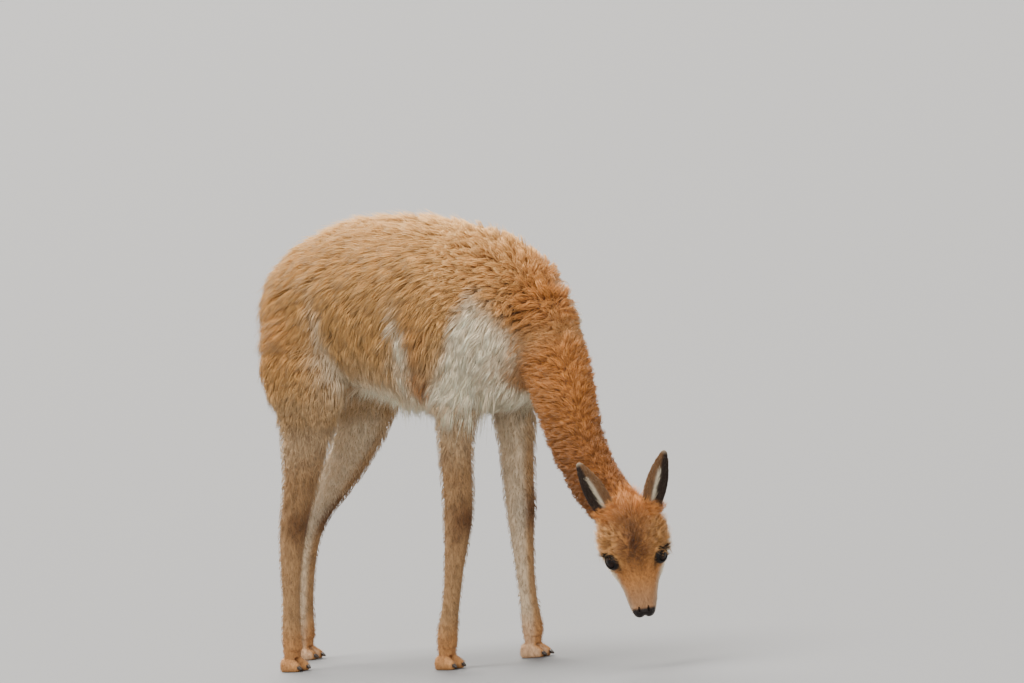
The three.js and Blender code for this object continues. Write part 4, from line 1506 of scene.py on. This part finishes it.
class VICUNA_OT_fleece(bpy.types.Operator):
    """Grows the fleece of trunk, neck, thighs and tail"""

    bl_idname = "vicuna.fleece"
    bl_label = "Fleece"

    def execute(self, context):
        lengths = context.scene.vicuna_lengths
        material = coat_material("vicuna fleece")
        back = FlatHair(lengths.fleece, width=2.1, rise=21, hang=0.1, clump=14, meet=0.36, density=7.15)
        curls = Hair(lengths.curls, width=2, rise=21, clump=12.5, meet=0.66, wave=3.5, density=9.2)
        curls.squash = 1.5
        # Dark painted shade at the roots, between the curls, and a painted highlight at the tips
        curls.shade = ((0.34, 0.26, 0.19), (0.78, 0.71, 0.64), (1, 1, 1), (1.2, 1.24, 1.26))
        neck = FlatHair(lengths.neck, width=1.4, rise=12, clump=8, meet=0.42, wave=2, density=14.6)
        neck.squash = 1.7
        # Painted shade at the roots of the neck's fleece and a painted highlight at the tips
        neck.shade = ((0.6, 0.5, 0.4), (0.92, 0.89, 0.85), (1.12, 1.14, 1.16))
        thigh = FlatHair(lengths.thigh, width=2.1, rise=15, clump=13, meet=0.36, density=7)
        tail = Hair(lengths.tail, width=2.6, rise=10, hang=0.9, density=6)
        grow("trunk_fleece", back, Places.flat_fleece, material, 11)
        grow("shoulder_fleece", curls, lambda at: at.trunk * at.curly(), material, 15)
        grow("neck_fleece", neck, lambda at: at.neck, material, 12, Places.neck_length)
        grow("thigh_fleece", thigh, lambda at: at.thigh, material, 13, Places.thigh_length)
        grow("tail_hair", tail, lambda at: at.tail, material, 14)
        return {"FINISHED"}


class VICUNA_OT_locks(bpy.types.Operator):
    """Grows the long locks of the chest, the belly and the fold of the flank"""

    bl_idname = "vicuna.locks"
    bl_label = "Long locks"

    def execute(self, context):
        length = context.scene.vicuna_lengths.fringe
        material = coat_material("vicuna locks")
        lock = Hair(length, width=2.4, rise=16, hang=0.6, clump=20, meet=0.35, density=4)
        # Light painted shade at the roots of the locks and a painted highlight at the tips
        lock.shade = ((0.82, 0.77, 0.7), (1.02, 0.99, 0.95), (1.12, 1.1, 1.08), (1.16, 1.16, 1.16))
        grow("chest_locks", lock, Places.fringe, material, 21, Places.fringe_length)
        return {"FINISHED"}


class VICUNA_OT_short_coat(bpy.types.Operator):
    """Grows the short hair of legs and feet"""

    bl_idname = "vicuna.short_coat"
    bl_label = "Short hair"

    def execute(self, context):
        length = context.scene.vicuna_lengths.leg
        material = coat_material("vicuna short hair")
        leg = ShortHair(length, width=1.3, rise=6.5, stray=0.18, density=4.9)
        foot = ShortHair(length * 0.42, width=0.9, rise=3, stray=0.22, density=8.6)
        # Painted shade at the roots of the feet's hair and a painted highlight at the tips
        foot.shade = ((0.6, 0.52, 0.44), (0.95, 0.92, 0.89), (1.14, 1.17, 1.2))
        grow("leg_hair", leg, Places.shank, material, 31, Places.leg_length)
        grow("foot_hair", foot, Places.foot, material, 32, Places.foot_length)
        return {"FINISHED"}


class VICUNA_OT_face_coat(bpy.types.Operator):
    """Grows the hair of the face and ears"""

    bl_idname = "vicuna.face_coat"
    bl_label = "Face and ears"

    def execute(self, context):
        length = context.scene.vicuna_lengths.face
        material = coat_material("vicuna face hair")
        short = ShortHair(length * 0.5, width=0.9, rise=2.2, density=13)
        fuzz = FlatHair(length, width=0.9, rise=12, clump=6.5, meet=0.35, wave=1, stray=0.3, density=21)
        # Dark painted shade at the roots of the forehead's fuzz and a painted highlight at the tips
        fuzz.shade = ((0.45, 0.38, 0.31), (0.9, 0.87, 0.84), (1.2, 1.24, 1.26))
        ear = ShortHair(length * 0.32, width=0.9, rise=1, density=18)
        inner = Hair(length * 0.9, width=0.6, rise=5, clump=5, meet=0.2, wave=0.5, density=14)
        # Painted shade at the roots of the ear's lining
        inner.shade = ((0.7, 0.7, 0.7), (0.9, 0.9, 0.9), (1, 1, 1), (1, 1, 1))
        poll = Hair(length * 1.6, width=1.2, rise=24, clump=9, meet=0.45, wave=2, stray=0.2, density=14)
        grow("face_hair", short, Places.short_face, material, 41, Places.face_length)
        grow("head_fuzz", fuzz, Places.fuzz, material, 44, Places.fuzz_length)
        grow("ear_hair", ear, Places.ear_back, material, 42)
        grow("ear_lining", inner, Places.ear_streak, material, 45)
        grow("poll_hair", poll, Places.poll, material, 43)
        grow_lashes(material, context.scene.vicuna_colours)
        return {"FINISHED"}


# Where the photograph's camera stands: what it looks at, and its axes to the right, up and back
CAMERA_TARGET = (422.6, 0, 635.2)
CAMERA_RIGHT = (0.68195, 0.72261, -0.11305)
CAMERA_UP = (0.03917, 0.11826, 0.99221)
CAMERA_BACK = (0.73035, -0.68106, 0.05234)
CAMERA_DISTANCE = 15000
# Focal length and width of the sensor, in millimetres
CAMERA_LENS = 268.9
CAMERA_SENSOR = 36
# Each light's name, where it comes from, how many degrees wide it is, its strength and its colour
LIGHTS = (
    ("ceiling light", (-0.35, -0.05, 1.0), 45, 8.5, (1, 0.97, 0.92)),
    ("rim light", (-0.75, 0.55, 0.5), 35, 4.5, (1, 0.96, 0.9)),
    ("front light", (0.6, -0.8, 0.25), 60, 2.7, (1, 0.97, 0.93)),
)
AIR_COLOUR = (0.86, 0.85, 0.84, 1)
AIR_STRENGTH = 0.9
FLOOR_COLOUR = (0.145, 0.146, 0.148, 1)
# Metres that the floor measures each way
FLOOR_SIZE = 4000


def soft_sun(name, source, softness, strength, colour):
    """Even light from one direction, softness degrees wide"""
    deselect()
    bpy.ops.object.light_add(type="SUN", rotation=Vector(source).to_track_quat("Z", "Y").to_euler())
    light = bpy.context.object
    light.name = name
    light.data.angle = math.radians(softness)
    light.data.energy = strength
    light.data.color = colour


def pale_floor():
    """Large square floor at the soles' height, which isn't part of the model"""
    deselect()
    bpy.ops.mesh.primitive_plane_add(size=FLOOR_SIZE)
    floor = bpy.context.object
    floor.name = "floor"
    material, _, _ = new_material("pale floor", Base_Color=FLOOR_COLOUR, Roughness=0.9)
    floor.data.materials.append(material)


def studio_air():
    """World of even, nearly white light"""
    world = bpy.data.worlds.new("studio air")
    world.use_nodes = True
    background = world.node_tree.nodes["Background"]
    background.inputs["Color"].default_value = AIR_COLOUR
    background.inputs["Strength"].default_value = AIR_STRENGTH
    return world


def photo_camera():
    """Camera that stands as the photograph's did"""
    bpy.ops.object.camera_add()
    camera = bpy.context.object
    camera.name = "camera"
    axes = Matrix((CAMERA_RIGHT, CAMERA_UP, CAMERA_BACK)).transposed().to_4x4()
    stand = BODY_FRAME @ (Vector(CAMERA_TARGET) + Vector(CAMERA_BACK) * CAMERA_DISTANCE)
    camera.matrix_world = Matrix.Translation(stand) @ axes
    camera.data.lens = CAMERA_LENS
    camera.data.sensor_width = CAMERA_SENSOR
    camera.data.clip_end = FLOOR_SIZE
    return camera


class VICUNA_OT_stage(bpy.types.Operator):
    """Sets the pale floor, the soft lights and the camera"""

    bl_idname = "vicuna.stage"
    bl_label = "Stage"

    def execute(self, context):
        pale_floor()
        for light in LIGHTS:
            soft_sun(*light)
        context.scene.world = studio_air()
        context.scene.camera = photo_camera()
        return {"FINISHED"}


class VICUNA_PT_panel(bpy.types.Panel):
    """Lists the steps and the settings in the sidebar"""

    bl_label = "Vicuna"
    bl_idname = "VICUNA_PT_panel"
    bl_space_type = "VIEW_3D"
    bl_region_type = "UI"
    bl_category = "Vicuna"

    def draw(self, context):
        for step in STEPS:
            self.layout.operator(step.bl_idname)
        for group in (context.scene.vicuna_skin, context.scene.vicuna_lengths, context.scene.vicuna_colours):
            box = self.layout.box()
            for name in group.bl_rna.properties.keys():
                if name not in ("rna_type", "name"):
                    box.prop(group, name)


GROUPS = {"vicuna_skin": SkinSizes, "vicuna_lengths": CoatLengths, "vicuna_colours": CoatColours}
STEPS = (
    VICUNA_OT_skin,
    VICUNA_OT_eyes,
    VICUNA_OT_nails,
    VICUNA_OT_fleece,
    VICUNA_OT_locks,
    VICUNA_OT_short_coat,
    VICUNA_OT_face_coat,
    VICUNA_OT_stage,
)


def register():
    for kind in (*GROUPS.values(), *STEPS, VICUNA_PT_panel):
        bpy.utils.register_class(kind)
    for name, group in GROUPS.items():
        setattr(bpy.types.Scene, name, bpy.props.PointerProperty(type=group))


def unregister():
    for name in GROUPS:
        delattr(bpy.types.Scene, name)
    for kind in (VICUNA_PT_panel, *reversed(STEPS), *reversed(GROUPS.values())):
        bpy.utils.unregister_class(kind)


def main():
    register()
    for step in STEPS:
        group, name = step.bl_idname.split(".")
        if getattr(getattr(bpy.ops, group), name)() != {"FINISHED"}:
            raise RuntimeError(f"{step.bl_label} didn't finish")


if __name__ == "__main__":
    main()
